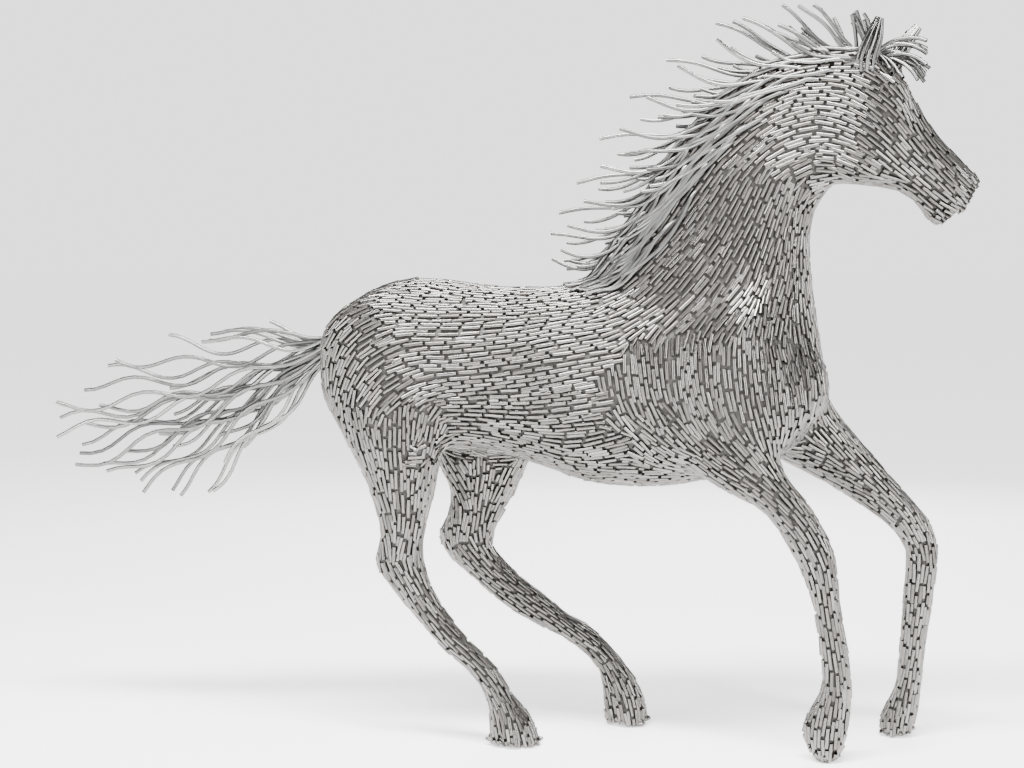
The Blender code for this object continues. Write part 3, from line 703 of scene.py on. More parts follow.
class Rows:
    """Rows laid evenly over the skin, each as far from its neighbours as the row pitch, in bond."""

    def __init__(self, skin, tube, dice, blocked):
        self.skin = skin
        self.tube = tube
        self.dice = dice
        self.blocked = blocked
        self.period = tube.length + tube.end_gap
        self.cells = {}
        self.rows = []
        self.count = 0

    def cell(self, point):
        size = self.tube.row_pitch
        return tuple(int(math.floor(c / size)) for c in point)

    def crowded(self, point, normal, limit, own=None, recent=0):
        """Whether another row, or an older part of this one, is nearer than the limit."""
        i, j, k = self.cell(point)
        square = limit * limit
        for a in (i - 1, i, i + 1):
            for b in (j - 1, j, j + 1):
                for c in (k - 1, k, k + 1):
                    for other, other_normal, row, number in self.cells.get((a, b, c), ()):
                        if own is not None and row == own and abs(number - recent) < OWN_STEPS:
                            continue
                        if (other - point).length_squared < square and normal.dot(other_normal) > SAME_SIDE:
                            return True
        return False

    def follow(self, point, face, sign, own, closest):
        """One end of a row, from a point on: a list of (point, normal, number)."""
        found = []
        heading = self.skin.flow_vectors[face] * sign
        number = 0
        while len(found) < ROW_STEPS:
            ahead, face = self.skin.nearest(point + heading * TRACE_STEP)
            normal = self.skin.normal_vectors[face]
            flow = self.skin.flow_vectors[face]
            turn = flow.dot(heading)
            if turn < 0:
                flow = -flow
                turn = -turn
            if turn < ROW_BEND or (ahead - point).length < ROW_STUCK * TRACE_STEP:
                break
            number += sign
            if self.crowded(ahead, normal, closest, own, number) or self.blocked(ahead, normal):
                break
            found.append((ahead, normal, number))
            self.cells.setdefault(self.cell(ahead), []).append((ahead, normal, own, number))
            point = ahead
            heading = flow
        return found

    def lay(self, seed_point, room, closest, parent=None, index=0):
        """Lays a row through a point if there is room for one, in bond with its parent."""
        point, face = self.skin.nearest(seed_point)
        normal = self.skin.normal_vectors[face]
        if self.crowded(point, normal, room) or self.blocked(point, normal):
            return None
        self.count += 1
        own = self.count
        self.cells.setdefault(self.cell(point), []).append((point, normal, own, 0))
        ahead = self.follow(point, face, 1, own, closest)
        behind = self.follow(point, face, -1, own, closest)
        points = [*reversed(behind), (point, normal, 0), *ahead]
        if (len(points) - 1) * TRACE_STEP < self.tube.shortest:
            for where, _, _ in points:
                cell = self.cell(where)
                self.cells[cell] = [entry for entry in self.cells[cell] if entry[2] != own]
            return None
        row = Row(points, len(behind), 0.0)
        row.phase = self.bond(row, parent, index)
        self.rows.append(row)
        return row

    def bond(self, row, parent, index):
        """Where the first offcut starts, so that end gaps lie about midway along the parent's offcuts."""
        if parent is None:
            return self.dice.uniform(0, self.period)
        position = index * TRACE_STEP - parent.phase
        if row.heading(row.seed).dot(parent.heading(index)) < 0:
            position = self.tube.length - position
        shift = self.period * self.dice.uniform(*BOND)
        return (row.seed * TRACE_STEP - position - shift) % self.period

    def fill(self, seeds, pitch, closest, waiting=()):
        """Rows beside rows, from the waiting rows and the seeds outward, until the skin is covered."""
        waiting = deque(waiting)
        for seed in (None, *seeds):
            if seed is not None:
                row = self.lay(seed, ROW_ROOM * pitch, closest)
                if row:
                    waiting.append(row)
            while waiting:
                row = waiting.popleft()
                for index in range(0, len(row.points), BESIDE_EVERY):
                    point, normal, _ = row.points[index]
                    beside = normal.cross(row.heading(index)).normalized() * pitch
                    for candidate in (point + beside, point - beside):
                        new = self.lay(candidate, ROW_ROOM * pitch, closest, row, index)
                        if new:
                            waiting.append(new)

    def cover(self, middle, axis, normal, length):
        """Marks the skin that an offcut covers."""
        steps = max(2, round(length / COVER_STEP))
        for k in range(steps + 1):
            where = middle + axis * (length * (k / steps - 0.5))
            self.cells.setdefault(self.cell(where), []).append((where, normal, 0, 0))

    def patches(self, offcuts):
        """Short offcuts welded wherever the skin between the rows is still bare."""
        tube = self.tube
        self.cells.clear()
        for offcut in offcuts:
            self.cover(*offcut)
        for face, middle in enumerate(self.skin.middles):
            point = Vector(middle)
            normal = self.skin.normal_vectors[face]
            if self.crowded(point, normal, PATCH_ROOM) or self.blocked(point, normal):
                continue
            axis = self.skin.flow_vectors[face]
            length = tube.length * self.dice.uniform(*PATCH_LENGTH)
            self.cover(point, axis, normal, length)
            yield point - normal * PATCH_DEPTH, axis, normal, length

    def offcuts(self):
        """Cuts the rows into offcuts: (middle, axis, normal, length) of each."""
        tube = self.tube
        dice = self.dice
        for row in self.rows:
            total = (len(row.points) - 1) * TRACE_STEP
            start = row.phase - self.period
            while start < total:
                low = max(start + dice.uniform(-SAW_SLIP, SAW_SLIP), 0.0)
                high = min(start + tube.length * dice.uniform(*SAWN), total)
                start += self.period
                if high - low < tube.shortest:
                    continue
                first, second, third = row.at(low), row.at((low + high) / 2), row.at(high)
                axis = third[0] - first[0]
                if axis.length > LEAST_CHORD * (high - low):
                    normal = (first[1] + second[1] + third[1]).normalized()
                    chord = (first[0] + third[0]) / 2
                    yield chord.lerp(second[0], STAND_PROUD), axis.normalized(), normal, axis.length


def eye_places(skin):
    """Where each eye's socket lies on the skin, with the skin's normal there."""
    found = []
    for side in (-1, 1):
        point, face = skin.nearest(place((EYE[0], side * EYE_SIDE, EYE[1])))
        found.append((point, skin.normal_vectors[face]))
    return found


def at_lips(point, normal):
    """Whether a point is on the blunt end of the muzzle or of the jaw."""
    x, _, z = (point - ORIGIN) / SQUARE
    return x > LIPS_FROM[0] and z > LIPS_FROM[1] and normal.dot(LIPS_HEADING) > LIPS_FACING


def bare(point, normal, eyes):
    """Whether a point is left free of rows, for the eyes, the lips and the ears' own tubes."""
    if any((point - eye).length < EYE_SOCKET for eye in eyes) or at_lips(point, normal):
        return True
    x, y, z = (point - ORIGIN) / SQUARE
    return x > EAR_SKIN[0] and abs(y) > EAR_SKIN[1] and z > EAR_SKIN[2]


def lip_offcuts(skin, tube, dice):
    """Offcuts that lie along the muzzle and show their open ends at the lips."""
    laid = []
    apart = tube.diameter * LIPS_SPACING
    for face, middle in enumerate(skin.middles):
        point = Vector(middle)
        normal = skin.normal_vectors[face]
        if not at_lips(point, normal):
            continue
        if any((point - other).cross(LIPS_HEADING).length < apart for other in laid):
            continue
        laid.append(point)
        length = tube.length * dice.uniform(*LIPS_LENGTH)
        axis = (LIPS_HEADING + normal * dice.uniform(*LIPS_SPLAY)).normalized()
        yield point - axis * (length / 2 - dice.uniform(*LIPS_PROUD)), axis, normal, length


def region_of(point):
    x, y, z = (point - ORIGIN) / SQUARE
    for name, test in REGIONS:
        if test(x, y, z):
            return name
    raise RuntimeError("a tube lies in no region")


class Tree:
    """A Geometry Nodes tree, built by one method."""

    def __init__(self, name, inputs):
        self.group = bpy.data.node_groups.new(name, "GeometryNodeTree")
        face = self.group.interface
        face.new_socket("Geometry", in_out="INPUT", socket_type="NodeSocketGeometry")
        for label, kind in inputs:
            face.new_socket(label, in_out="INPUT", socket_type=kind)
        face.new_socket("Geometry", in_out="OUTPUT", socket_type="NodeSocketGeometry")
        self.start = self.group.nodes.new("NodeGroupInput")

    def node(self, kind, settings, values, output=0):
        made = self.group.nodes.new(kind)
        for key, value in settings.items():
            setattr(made, key, value)
        for key, value in values.items():
            if isinstance(value, bpy.types.NodeSocket):
                self.group.links.new(value, made.inputs[key])
            else:
                made.inputs[key].default_value = value
        return made.outputs[output]

    def maths(self, operation, first, second=0.0):
        return self.node("ShaderNodeMath", {"operation": operation}, {0: first, 1: second})

    def store(self, mesh, name, value, kind="FLOAT"):
        """Keeps a value on the mesh's points, for the steel to read."""
        return self.node("GeometryNodeStoreNamedAttribute", {"data_type": kind, "domain": "POINT"},
                         {"Geometry": mesh, "Name": name, "Value": value})

    def end(self, geometry):
        made = self.group.nodes.new("NodeGroupOutput")
        self.group.links.new(geometry, made.inputs[0])

    def put_on(self, thing, **values):
        """Adds the tree to an object as a modifier, with its inputs set by their identifiers."""
        modifier = thing.modifiers.new(self.group.name, "NODES")
        modifier.node_group = self.group
        for item in self.group.interface.items_tree:
            key = item.name.lower()
            if item.item_type == "SOCKET" and item.in_out == "INPUT" and key in values:
                modifier[item.identifier] = values[key]


def offcut_tree():
    """Sets a hollow tube at every point, turned and lengthened by the point's attributes."""
    tree = Tree("Lay offcuts", (
        ("Diameter", "NodeSocketFloat"), ("Wall", "NodeSocketFloat"), ("Sides", "NodeSocketInt"),
        ("Steel", "NodeSocketMaterial"),
    ))
    given = tree.start.outputs
    wall = given["Wall"]
    radius = tree.maths("MULTIPLY", tree.maths("SUBTRACT", given["Diameter"], wall), 0.5)
    ring = tree.node("GeometryNodeCurvePrimitiveCircle", {}, {"Resolution": given["Sides"], "Radius": radius})
    section = tree.node("GeometryNodeCurvePrimitiveQuadrilateral", {}, {"Width": wall, "Height": 1.0})
    tube = tree.node("GeometryNodeCurveToMesh", {}, {"Curve": ring, "Profile Curve": section})
    tube = tree.node("GeometryNodeFlipFaces", {}, {"Mesh": tube})
    where = tree.node("GeometryNodeInputPosition", {}, {})
    height = tree.node("ShaderNodeSeparateXYZ", {}, {0: where}, 2)
    tube = tree.store(tube, "along", tree.maths("ABSOLUTE", height))
    # The inner wall is marked as bore, which the steel colours with painted shade.
    flat = tree.node("ShaderNodeVectorMath", {"operation": "MULTIPLY"}, {0: where, 1: (1.0, 1.0, 0.0)})
    out = tree.node("ShaderNodeVectorMath", {"operation": "LENGTH"}, {0: flat}, 1)
    tube = tree.store(tube, "bore", tree.maths("LESS_THAN", out, radius))
    tube = tree.store(tube, "drawn", where, "FLOAT_VECTOR")
    bend = tree.node("GeometryNodeInputMeshEdgeAngle", {}, {})
    edge = tree.maths("GREATER_THAN", bend, math.radians(SHARP_EDGE))
    tube = tree.node("GeometryNodeSetShadeSmooth", {"domain": "FACE"},
                     {"Geometry": tube, "Shade Smooth": True})
    tube = tree.node("GeometryNodeSetShadeSmooth", {"domain": "EDGE"},
                     {"Geometry": tube, "Selection": edge, "Shade Smooth": False})
    turn = tree.node("GeometryNodeInputNamedAttribute", {"data_type": "QUATERNION"}, {"Name": "turn"})
    length = tree.node("GeometryNodeInputNamedAttribute", {"data_type": "FLOAT"}, {"Name": "length"})
    size = tree.node("ShaderNodeCombineXYZ", {}, {0: 1.0, 1: 1.0, 2: length})
    laid = tree.node("GeometryNodeInstanceOnPoints", {}, {
        "Points": given["Geometry"], "Instance": tube, "Rotation": turn, "Scale": size})
    whole = tree.node("GeometryNodeRealizeInstances", {}, {"Geometry": laid})
    tree.end(tree.node("GeometryNodeSetMaterial", {}, {"Geometry": whole, "Material": given["Steel"]}))
    return tree


def points_mesh(name, offcuts, tube, dice):
    """A mesh of bare points, one for each offcut, with what the tree reads from them."""
    count = len(offcuts)
    mesh = bpy.data.meshes.new(name)
    mesh.vertices.add(count)
    places, turns, lengths, shades = [], [], [], []
    for middle, axis, normal, length in offcuts:
        places.extend(middle - normal * (tube.diameter * dice.gauss(*SUNK)))
        lean = normal.cross(axis) * dice.gauss(0.0, LEAN[0]) + normal * dice.gauss(0.0, LEAN[1])
        leaned = (axis + lean).normalized()
        turn = leaned.to_track_quat("Z", "Y")
        turn = turn @ Quaternion((0, 0, 1), dice.uniform(0, math.tau))
        turns.extend((turn.w, turn.x, turn.y, turn.z))
        lengths.append(length)
        shades.append(within(dice.gauss(*OFFCUT_SHADE), (0.0, 1.0)))
    mesh.vertices.foreach_set("co", places)
    for label, kind, values in (("turn", "QUATERNION", turns), ("length", "FLOAT", lengths),
                                ("shade", "FLOAT", shades)):
        mesh.attributes.new(label, kind, "POINT").data.foreach_set("value", values)
    return mesh


def smooth_run(rows, steps):
    """A Catmull-Rom run through rows of numbers, with steps between each two."""
    rows = np.array(rows, float)
    ends = np.vstack([2 * rows[0] - rows[1], rows, 2 * rows[-1] - rows[-2]])
    found = []
    for i in range(1, len(ends) - 2):
        p0, p1, p2, p3 = ends[i - 1:i + 3]
        for k in range(steps):
            t = k / steps
            found.append(0.5 * (2 * p1 + (p2 - p0) * t + (2 * p0 - 5 * p1 + 4 * p2 - p3) * t ** 2
                                + (3 * p1 - p0 - 3 * p2 + p3) * t ** 3))
    found.append(rows[-1])
    return np.array(found)


def between(ends, share):
    """The value at a share of the way from one end to the other."""
    return ends[0] + (ends[1] - ends[0]) * share


def within(value, ends):
    """The value, or the end that it goes past."""
    return min(max(value, ends[0]), ends[1])


def flow_path(root, length, slope, drift):
    """A path followed from its root. slope(t) is its angle in the side view, in degrees, and drift(t)
    its place across the horse, with t from 0 at the root to 1 at the tip."""
    step = length / STRAND_STEPS
    x, _, z = root
    path = [Vector((x, drift(0.0), z)) + ORIGIN]
    for k in range(STRAND_STEPS):
        angle = math.radians(slope((k + 0.5) / STRAND_STEPS))
        x += step * math.cos(angle)
        z += step * math.sin(angle)
        path.append(Vector((x, drift((k + 1) / STRAND_STEPS), z)) + ORIGIN)
    return path


def tail_path(column, row, order, full, wave):
    """One tube of the tail. Column and row place it at the dock, and may fall between whole ones."""
    down = Vector((-math.sin(math.radians(DOCK_SLOPE)), 0, math.cos(math.radians(DOCK_SLOPE))))
    side = (column - (TAIL_COLUMNS - 1) / 2) * STRAND_PITCH
    phase = order * math.tau / TAIL_COLUMNS
    u = (row * TAIL_COLUMNS + order) / (TAIL_ROWS * TAIL_COLUMNS - 1)
    length = full * float(np.interp(u, *zip(*TAIL_REACH)))
    root = Vector(DOCK) * SQUARE + down * ((TAIL_ROWS - 1) / 2 - row) * STRAND_PITCH

    def slope(t):
        swing = TAIL_WAVE * min(1.0, 3 * t)
        middle = between((between(TAIL_START, u), between(TAIL_END, u)), t)
        return 180 - middle + swing * math.sin(math.tau * t * length / wave + phase)

    def drift(t):
        return side * (1 + TAIL_SPREAD * t * length / full)

    return flow_path(root, length, slope, drift)


def tail_paths(full, wave, dice):
    """The solid tail's tubes, and as many again in the columns between them."""
    for column in range(TAIL_COLUMNS):
        for row in range(TAIL_ROWS):
            yield tail_path(column, row, (column * 2) % TAIL_COLUMNS, full, wave)
    for column in range(TAIL_COLUMNS - 1):
        for row in range(TAIL_ROWS):
            order = dice.uniform(0, TAIL_COLUMNS - 1)
            longest = full * dice.uniform(*TAIL_FILL_LENGTH)
            strayed = row + dice.uniform(-TAIL_FILL_STRAY, TAIL_FILL_STRAY)
            yield tail_path(column + 0.5, strayed, order, longest, wave * dice.uniform(*TAIL_FILL_WAVE))


def along_crest(share):
    """The point of the crest at a share of its run from the withers, and the crest's slope there."""
    line = smooth_run(CREST, CREST_STEPS)
    run = np.linalg.norm(np.diff(line, axis=0), axis=1)
    along = np.concatenate([[0.0], np.cumsum(run)])
    here = share * along[-1]
    point = [float(np.interp(here, along, line[:, k])) for k in range(2)]
    k = min(int(np.searchsorted(along, here, side="right")) - 1, len(run) - 1)
    back = line[k] - line[k + 1]
    return point, math.degrees(math.atan2(back[1], -back[0]))


def below_crest(where, drop):
    """The point at a depth below a place on the crest, in metres, and the crest's slope there."""
    (x, z), crest_slope = along_crest(where)
    inward = math.radians(crest_slope)
    point = Vector((x - drop * math.sin(inward), 0, z - drop * math.cos(inward))) * SQUARE
    return point, crest_slope


def mane_path(where, side, drop, lift, phase, full, wave):
    """One tube of the mane, from its place on the crest."""
    root, crest_slope = below_crest(where, drop)
    start = crest_slope + lift
    end = float(np.interp(where, *zip(*MANE_END)))
    length = full * float(np.interp(where, *zip(*MANE_REACH)))

    def slope(t):
        swing = MANE_WAVE * min(1.0, 3 * t)
        return 180 - between((start, end), t) + swing * math.sin(math.tau * t * length / wave + phase)

    def drift(t):
        return side * SQUARE * (1 + MANE_SPREAD * t)

    return flow_path(root, length, slope, drift)


def mane_paths(full, wave):
    """The solid mane's tubes."""
    for row, (side, drop, ends, count) in enumerate(MANE_ROWS):
        for k in range(count):
            where = between(ends, k / (count - 1))
            yield mane_path(where, side, drop, MANE_LIFT, row * math.tau / len(MANE_ROWS), full, wave)


def flicked_path(root, length, start, end, kink, across):
    """A tube that lies along the neck and flicks out near its tip."""

    def slope(t):
        return 180 - between((start, end), t ** MANE_FLICK) + kink * math.sin(math.tau * t)

    return flow_path(root, length, slope, lambda t: across)


def mane_fill(full, dice):
    """The tubes that lie along the neck and flick out behind it."""

    def stray(kind):
        return dice.uniform(*MANE_STRAY[kind])

    for side, drop, ends, count, lift, flick, share in MANE_FILL:
        for k in range(count):
            where = within(between(ends, (k + stray("place")) / (count - 1)), ends)
            root, crest_slope = below_crest(where, drop + stray("depth"))
            start = crest_slope + lift + stray("lift")
            end = MANE_FILL_END * float(np.interp(where, *zip(*MANE_END))) + flick + stray("flick")
            length = full * share * float(np.interp(where, *zip(*MANE_REACH))) * stray("length")
            across = (side + stray("across")) * SQUARE
            yield flicked_path(root, length, start, end, stray("kink"), across)


def forelock_path(row, column, u, full):
    """One tube of the forelock, from its place in the rows over the brow."""
    root = Vector(FORELOCK_ROOT) * SQUARE + Vector((0, 0, (0.5 - row) * STRAND_PITCH))
    side = (column - (FORELOCK_COLUMNS - 1) / 2) * STRAND_PITCH

    def slope(t):
        return between((between(FORELOCK_START, u), between(FORELOCK_END, u)), t)

    def drift(t):
        return side * (1 + FORELOCK_SPREAD * t * t)

    return flow_path(root, full, slope, drift)


def forelock_paths(full):
    """The solid forelock's tubes."""
    steps = FORELOCK_ROWS * FORELOCK_COLUMNS - 1
    for row in range(FORELOCK_ROWS):
        for column in range(FORELOCK_COLUMNS):
            u = (row * FORELOCK_COLUMNS + (column * 3) % FORELOCK_COLUMNS) / steps
            yield forelock_path(row, column, u, full)


def fallen_path(root, ends, length):
    """A tube that falls over the forehead, its slope going from the first of the ends to the second."""
    return flow_path(root, length, lambda t: between(ends, t), lambda t: root.y * (1 + FORELOCK_FAN * t))


def forelock_fill(skin):
    """The tubes that fall over the forehead, from places on top of the poll."""
    for (x, y), start, end, length in FORELOCK_FILL:
        top, _ = skin.nearest(place((x, y, FORELOCK_FROM)))
        yield fallen_path(top - ORIGIN, (start, end), length)


def ear_paths(sections):
    """Tubes round an ear, from below its root to its tip."""
    for k in range(EAR_TUBES):
        angle = math.tau * k / EAR_TUBES
        run = []
        for rear, front, across, half in sections:
            middle = Vector(((rear[0] + front[0]) / 2, across, (rear[1] + front[1]) / 2))
            reach = Vector(((front[0] - rear[0]) / 2, 0, (front[1] - rear[1]) / 2))
            round_it = reach * (EAR_FILL * math.cos(angle)) + Vector((0, half * math.sin(angle), 0))
            run.append(middle + round_it)
        yield [place(point) for point in smooth_run(run, EAR_STEPS)]


def seated(path, skin, depth):
    """The path from where it leaves the skin, with its root sunk in to a depth."""
    for index, point in enumerate(path):
        if skin.height_above(point) > -depth:
            return path[index:]
    return path[-2:]


def draped(path, skin, diameter):
    """The path, pushed out where it would run through the skin, with its root sunk by a diameter."""
    clear = diameter * STRAND_CLEAR
    found = []
    for index, point in enumerate(path):
        where, face = skin.nearest(point)
        normal = skin.normal_vectors[face]
        least = between((-diameter, clear), min(1.0, index / STRAND_RISE))
        if (point - where).dot(normal) < least:
            point = where + normal * least
        found.append(point)
    for _ in range(STRAND_EASE):
        eased = [(a + 2 * b + c) / 4 for a, b, c in zip(found, found[1:], found[2:])]
        found = [found[0], *eased, found[-1]]
    return found


def add_strand(data, path, shade, tube):
    """Adds one bent hollow tube to lists of points, faces, shades and bore marks; the bore marks the hole at
    its tip, which the steel colours with painted shade.
    """
    outer = tube.diameter / 2
    inner = outer - tube.wall
    points = [Vector(p) for p in np.stack([
        np.interp(np.linspace(0, len(path) - 1, STRAND_RINGS), range(len(path)), [p[k] for p in path])
        for k in range(3)], 1)]
    run = points[1] - points[0]
    across = run.orthogonal().normalized()
    loops = []
    for index, point in enumerate(points):
        ahead = points[min(index + 1, STRAND_RINGS - 1)] - points[max(index - 1, 0)]
        ahead.normalize()
        across = (across - ahead * across.dot(ahead)).normalized()
        loops.append((point, ahead, across.copy(), outer, 0.0))
    point, ahead, across, _, _ = loops[-1]
    # The hole at the tip is marked as bore, for the painted shade inside it.
    bore_end = tube.diameter * STRAND_BORE
    loops.append((point, ahead, across, inner, 1.0))
    loops.append((point - ahead * bore_end, ahead, across, inner, 1.0))
    base = len(data["points"])
    for point, ahead, across, radius, bore in loops:
        other = ahead.cross(across)
        for k in range(tube.sides):
            a = math.tau * k / tube.sides
            data["points"].append(point + (across * math.cos(a) + other * math.sin(a)) * radius)
            data["shade"].append(shade)
            data["bore"].append(bore)
            data["along"].append(STRAND_TINT)
    for loop in range(len(loops) - 1):
        for k in range(tube.sides):
            low = base + loop * tube.sides
            following = (k + 1) % tube.sides
            data["faces"].append((low + k, low + following, low + tube.sides + following,
                                  low + tube.sides + k))
    last = base + (len(loops) - 1) * tube.sides
    data["faces"].append(tuple(last + k for k in range(tube.sides)))
    data["faces"].append(tuple(base + k for k in reversed(range(tube.sides))))


def hair_piece(name, paths, material, tube, dice):
    """One piece of bent tubes along the paths."""
    data = {"points": [], "faces": [], "shade": [], "bore": [], "along": []}
    for path in paths:
        add_strand(data, path, within(dice.gauss(*STRAND_SHADE), (0.0, 1.0)), tube)
    mesh = bpy.data.meshes.new(name)
    mesh.from_pydata([tuple(p) for p in data["points"]], [], data["faces"])
    for label in ("shade", "bore", "along"):
        mesh.attributes.new(label, "FLOAT", "POINT").data.foreach_set("value", data[label])
    mesh.materials.append(material)
    mesh.shade_smooth()
    mesh.set_sharp_from_angle(angle=math.radians(SHARP_EDGE))
    return link(name, mesh)


def solid_names(kind):
    """The frame's nodes of one kind."""
    return sorted(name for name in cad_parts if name.startswith(kind))


class Work:
    """What the operators share: the skin, and the materials."""

    skin = None
    offcut = None
    hair = None


class HORSE_OT_steel(bpy.types.Operator):
    """Mixes the steel finishes and reads the skin"""

    bl_idname = "horse.steel"
    bl_label = "Steel and skin"

    def execute(self, context):
        look = context.scene.horse_steel
        dull, warm = tuple(look.dull), tuple(look.warm)
        Work.offcut = tube_steel("offcut_steel", tuple(look.bright), dull, warm, OFFCUT_ROUGH)
        Work.hair = tube_steel("bent_tube_steel", tuple(look.hair), dull, warm, STRAND_ROUGH)
        Work.skin = Skin()
        return {"FINISHED"}


class HORSE_OT_backing(bpy.types.Operator):
    """Makes the dark backing that shows in the gaps, a sheet whose colour is painted shade"""

    bl_idname = "horse.backing"
    bl_label = "Backing"

    def execute(self, context):
        mesh = skin_mesh(1)
        depth = context.scene.horse_tube.diameter * BACKING_DEPTH
        work = bmesh.new()
        work.from_mesh(mesh)
        for vert in work.verts:
            vert.co -= vert.normal * depth
        work.to_mesh(mesh)
        work.free()
        mesh.materials.clear()
        # The backing's dark colour is painted shade for the gaps between the tubes.
        mesh.materials.append(gap_shade_material(tuple(context.scene.horse_steel.backing)))
        mesh.shade_smooth()
        backing = link("welded_backing", mesh)
        finish_piece(backing, "tube_skin", "horse_body")
        return {"FINISHED"}


class HORSE_OT_offcuts(bpy.types.Operator):
    """Lays the short offcuts in rows over the skin"""

    bl_idname = "horse.offcuts"
    bl_label = "Offcuts"

    def execute(self, context):
        tube = context.scene.horse_tube
        dice = random.Random(SEED)
        eyes = [point for point, _ in eye_places(Work.skin)]
        rows = Rows(Work.skin, tube, dice, lambda point, normal: bare(point, normal, eyes))
        seeds = [place((x, side * SEED_SIDE, z)) for side in (-1, 1) for x, z in ROW_SEEDS]
        rows.fill(seeds, tube.row_pitch, tube.row_closest)
        middles = Work.skin.middles
        seeds = [Vector(middles[k]) for k in range(0, len(middles), SEED_EVERY)]
        rows.fill(seeds, tube.row_pitch, tube.row_closest)
        rows.fill(seeds, tube.squeezed_pitch, tube.squeezed_closest, rows.rows)
        offcuts = list(rows.offcuts())
        offcuts += list(rows.patches(offcuts))
        offcuts += lip_offcuts(Work.skin, tube, dice)
        laid = {region: [] for region, _ in REGIONS}
        for offcut in offcuts:
            laid[region_of(offcut[0])].append(offcut)
        tree = offcut_tree()
        for region, here in laid.items():
            points = link(region, points_mesh(region, here, tube, dice))
            tree.put_on(points, diameter=tube.diameter, wall=tube.wall, sides=tube.sides, steel=Work.offcut)
            finish_piece(link(f"offcuts_{region}", evaluated_mesh(points)), "tube_skin")
        return {"FINISHED"}


class HORSE_OT_eyes(bpy.types.Operator):
    """Sets a short tube end-on in each eye socket"""

    bl_idname = "horse.eyes"
    bl_label = "Eyes"

    def execute(self, context):
        tube = context.scene.horse_tube
        dice = random.Random(SEED + 1)
        paths = [[point - normal * depth for depth in EYE_DEPTHS]
                 for point, normal in eye_places(Work.skin)]
        finish_piece(hair_piece("eyes", paths, Work.offcut, tube, dice), "tube_skin")
        return {"FINISHED"}


class HORSE_OT_ears(bpy.types.Operator):
    """Bundles tubes into each ear"""

    bl_idname = "horse.ears"
    bl_label = "Ears"

    def execute(self, context):
        paths = [*ear_paths(NEAR_EAR), *ear_paths(FAR_EAR)]
        dice = random.Random(SEED + 5)
        finish_piece(hair_piece("ears", paths, Work.offcut, context.scene.horse_tube, dice), "tube_skin")
        return {"FINISHED"}


class HORSE_OT_tail(bpy.types.Operator):
    """Bends the tail's tubes"""

    bl_idname = "horse.tail"
    bl_label = "Tail"

    def execute(self, context):
        hair = context.scene.horse_hair
        tube = context.scene.horse_tube
        dice = random.Random(SEED + 2)
        paths = [seated(p, Work.skin, tube.diameter) for p in tail_paths(hair.tail, hair.wave, dice)]
        piece = hair_piece("tail", paths, Work.hair, tube, dice)
        finish_piece(piece, "bent_tube", *solid_names("tail_strand"))
        return {"FINISHED"}


class HORSE_OT_mane(bpy.types.Operator):
    """Bends the mane's tubes"""

    bl_idname = "horse.mane"
    bl_label = "Mane"

    def execute(self, context):
        hair = context.scene.horse_hair
        tube = context.scene.horse_tube
        dice = random.Random(SEED + 3)
        paths = [seated(p, Work.skin, tube.diameter) for p in mane_paths(hair.mane, hair.wave)]
        paths += [draped(p, Work.skin, tube.diameter) for p in mane_fill(hair.mane, dice)]
        piece = hair_piece("mane", paths, Work.hair, tube, dice)
        finish_piece(piece, "bent_tube", *solid_names("mane_strand"))
        return {"FINISHED"}


class HORSE_OT_forelock(bpy.types.Operator):
    """Bends the forelock's tubes"""

    bl_idname = "horse.forelock"
    bl_label = "Forelock"

    def execute(self, context):
        hair = context.scene.horse_hair
        tube = context.scene.horse_tube
        dice = random.Random(SEED + 4)
        paths = [seated(p, Work.skin, tube.diameter) for p in forelock_paths(hair.forelock)]
        paths += [draped(p, Work.skin, tube.diameter) for p in forelock_fill(Work.skin)]
        piece = hair_piece("forelock", paths, Work.hair, tube, dice)
        finish_piece(piece, "bent_tube", *solid_names("forelock_strand"))
        return {"FINISHED"}


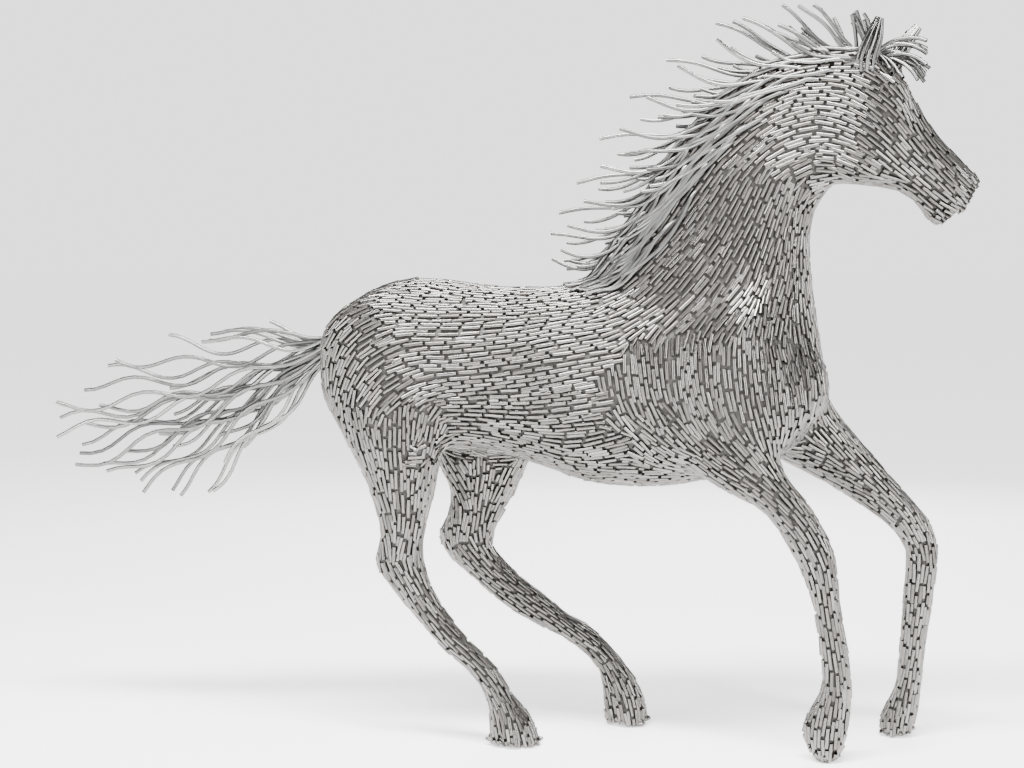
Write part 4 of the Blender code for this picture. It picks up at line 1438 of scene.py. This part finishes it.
class HORSE_OT_stage(bpy.types.Operator):
    """Sets up the floor, the room, the lights and the camera"""

    bl_idname = "horse.stage"
    bl_label = "Stage"

    def execute(self, context):
        look = context.scene.horse_stage
        self.floor(look)
        self.lights(look)
        self.camera()
        return {"FINISHED"}

    def floor(self, look):
        """A flat pale floor that runs out to the horizon."""
        work = bmesh.new()
        bmesh.ops.create_circle(work, cap_ends=True, segments=48, radius=FLOOR_RADIUS)
        mesh = bpy.data.meshes.new("studio_floor")
        work.to_mesh(mesh)
        work.free()
        mesh.materials.append(stage_white(tuple(look.floor), look.glow))
        link("studio_floor", mesh)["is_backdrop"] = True

    def lights(self, look):
        self.room(look)
        sun = bpy.data.lights.new("soft_overhead", "SUN")
        sun.energy = look.overhead
        sun.angle = math.radians(OVERHEAD_WIDTH)
        lamp = link("soft_overhead", sun)
        lamp.rotation_euler = [math.radians(angle) for angle in OVERHEAD_TILT]
        for name, where, aim, size, setting in STRIP_LIGHTS:
            light = bpy.data.lights.new(name, "AREA")
            light.shape = "RECTANGLE"
            light.size, light.size_y = size
            light.energy = getattr(look, setting)
            lamp = link(name, light)
            lamp.location = where
            lamp.rotation_euler = (Vector(aim) - Vector(where)).to_track_quat("-Z", "Y").to_euler()

    def room(self, look):
        """A room that is pale at the horizon, dim above it and pale again overhead."""
        world = bpy.data.worlds.new("studio_room")
        sky = Shader(world, "Background")
        where = sky.node("ShaderNodeTexCoord", {}, {}, 3)
        height = sky.node("ShaderNodeSeparateXYZ", {}, {0: where}, 2)
        stops = []
        for stop, setting in ROOM_STOPS:
            grey = getattr(look, setting) / look.horizon
            stops.append((stop, (grey, grey, grey, 1.0)))
        colour = sky.node("ShaderNodeValToRGB", {"stops": stops}, {0: height})
        sky.set(Color=colour, Strength=look.horizon)
        bpy.context.scene.world = world

    def camera(self):
        turn, rise = math.radians(CAMERA_TURN), math.radians(CAMERA_RISE)
        back = Vector((math.sin(turn) * math.cos(rise), -math.cos(turn) * math.cos(rise), math.sin(rise)))
        right = Vector((math.cos(turn), math.sin(turn), 0.0))
        up = back.cross(right)
        aim = Vector((ORIGIN.x, 0.0, CAMERA_AIM))
        data = bpy.data.cameras.new("camera")
        data.sensor_width = SENSOR
        data.lens = CAMERA_DISTANCE / PIXEL * SENSOR / IMAGE_WIDTH
        camera = link("camera", data)
        turned = Matrix((right, up, back)).transposed().to_4x4()
        camera.matrix_world = Matrix.Translation(aim + back * CAMERA_DISTANCE) @ turned
        bpy.context.scene.camera = camera


GROUPS = {
    "horse_tube": TubeSizes, "horse_steel": SteelLook, "horse_hair": HairSizes, "horse_stage": StageLook,
}
OPERATORS = (
    HORSE_OT_steel, HORSE_OT_backing, HORSE_OT_offcuts, HORSE_OT_eyes, HORSE_OT_ears,
    HORSE_OT_tail, HORSE_OT_mane, HORSE_OT_forelock, HORSE_OT_stage,
)


class HORSE_PT_panel(bpy.types.Panel):
    """Sizes, colours and the pieces that they make"""

    bl_idname = "HORSE_PT_panel"
    bl_label = "Tube horse"
    bl_space_type = "VIEW_3D"
    bl_region_type = "UI"
    bl_category = "Tube horse"

    def draw(self, context):
        for group, kind in GROUPS.items():
            box = self.layout.box()
            for name in kind.__annotations__:
                box.prop(getattr(context.scene, group), name)
        for operator in OPERATORS:
            self.layout.operator(operator.bl_idname)


def register():
    for kind in (*GROUPS.values(), *OPERATORS, HORSE_PT_panel):
        bpy.utils.register_class(kind)
    for name, kind in GROUPS.items():
        setattr(bpy.types.Scene, name, bpy.props.PointerProperty(type=kind))


def unregister():
    for name in GROUPS:
        delattr(bpy.types.Scene, name)
    for kind in reversed((*GROUPS.values(), *OPERATORS, HORSE_PT_panel)):
        bpy.utils.unregister_class(kind)


def main():
    register()
    bpy.ops.horse.stage()
    bpy.ops.horse.steel()
    bpy.ops.horse.backing()
    bpy.ops.horse.offcuts()
    bpy.ops.horse.eyes()
    bpy.ops.horse.ears()
    bpy.ops.horse.tail()
    bpy.ops.horse.mane()
    bpy.ops.horse.forelock()
    boxes = {"solid": SOLID_BOX, "visual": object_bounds()}
    {name: [list(corner) for corner in box] for name, box in boxes.items()}


if __name__ == "__main__":
    main()
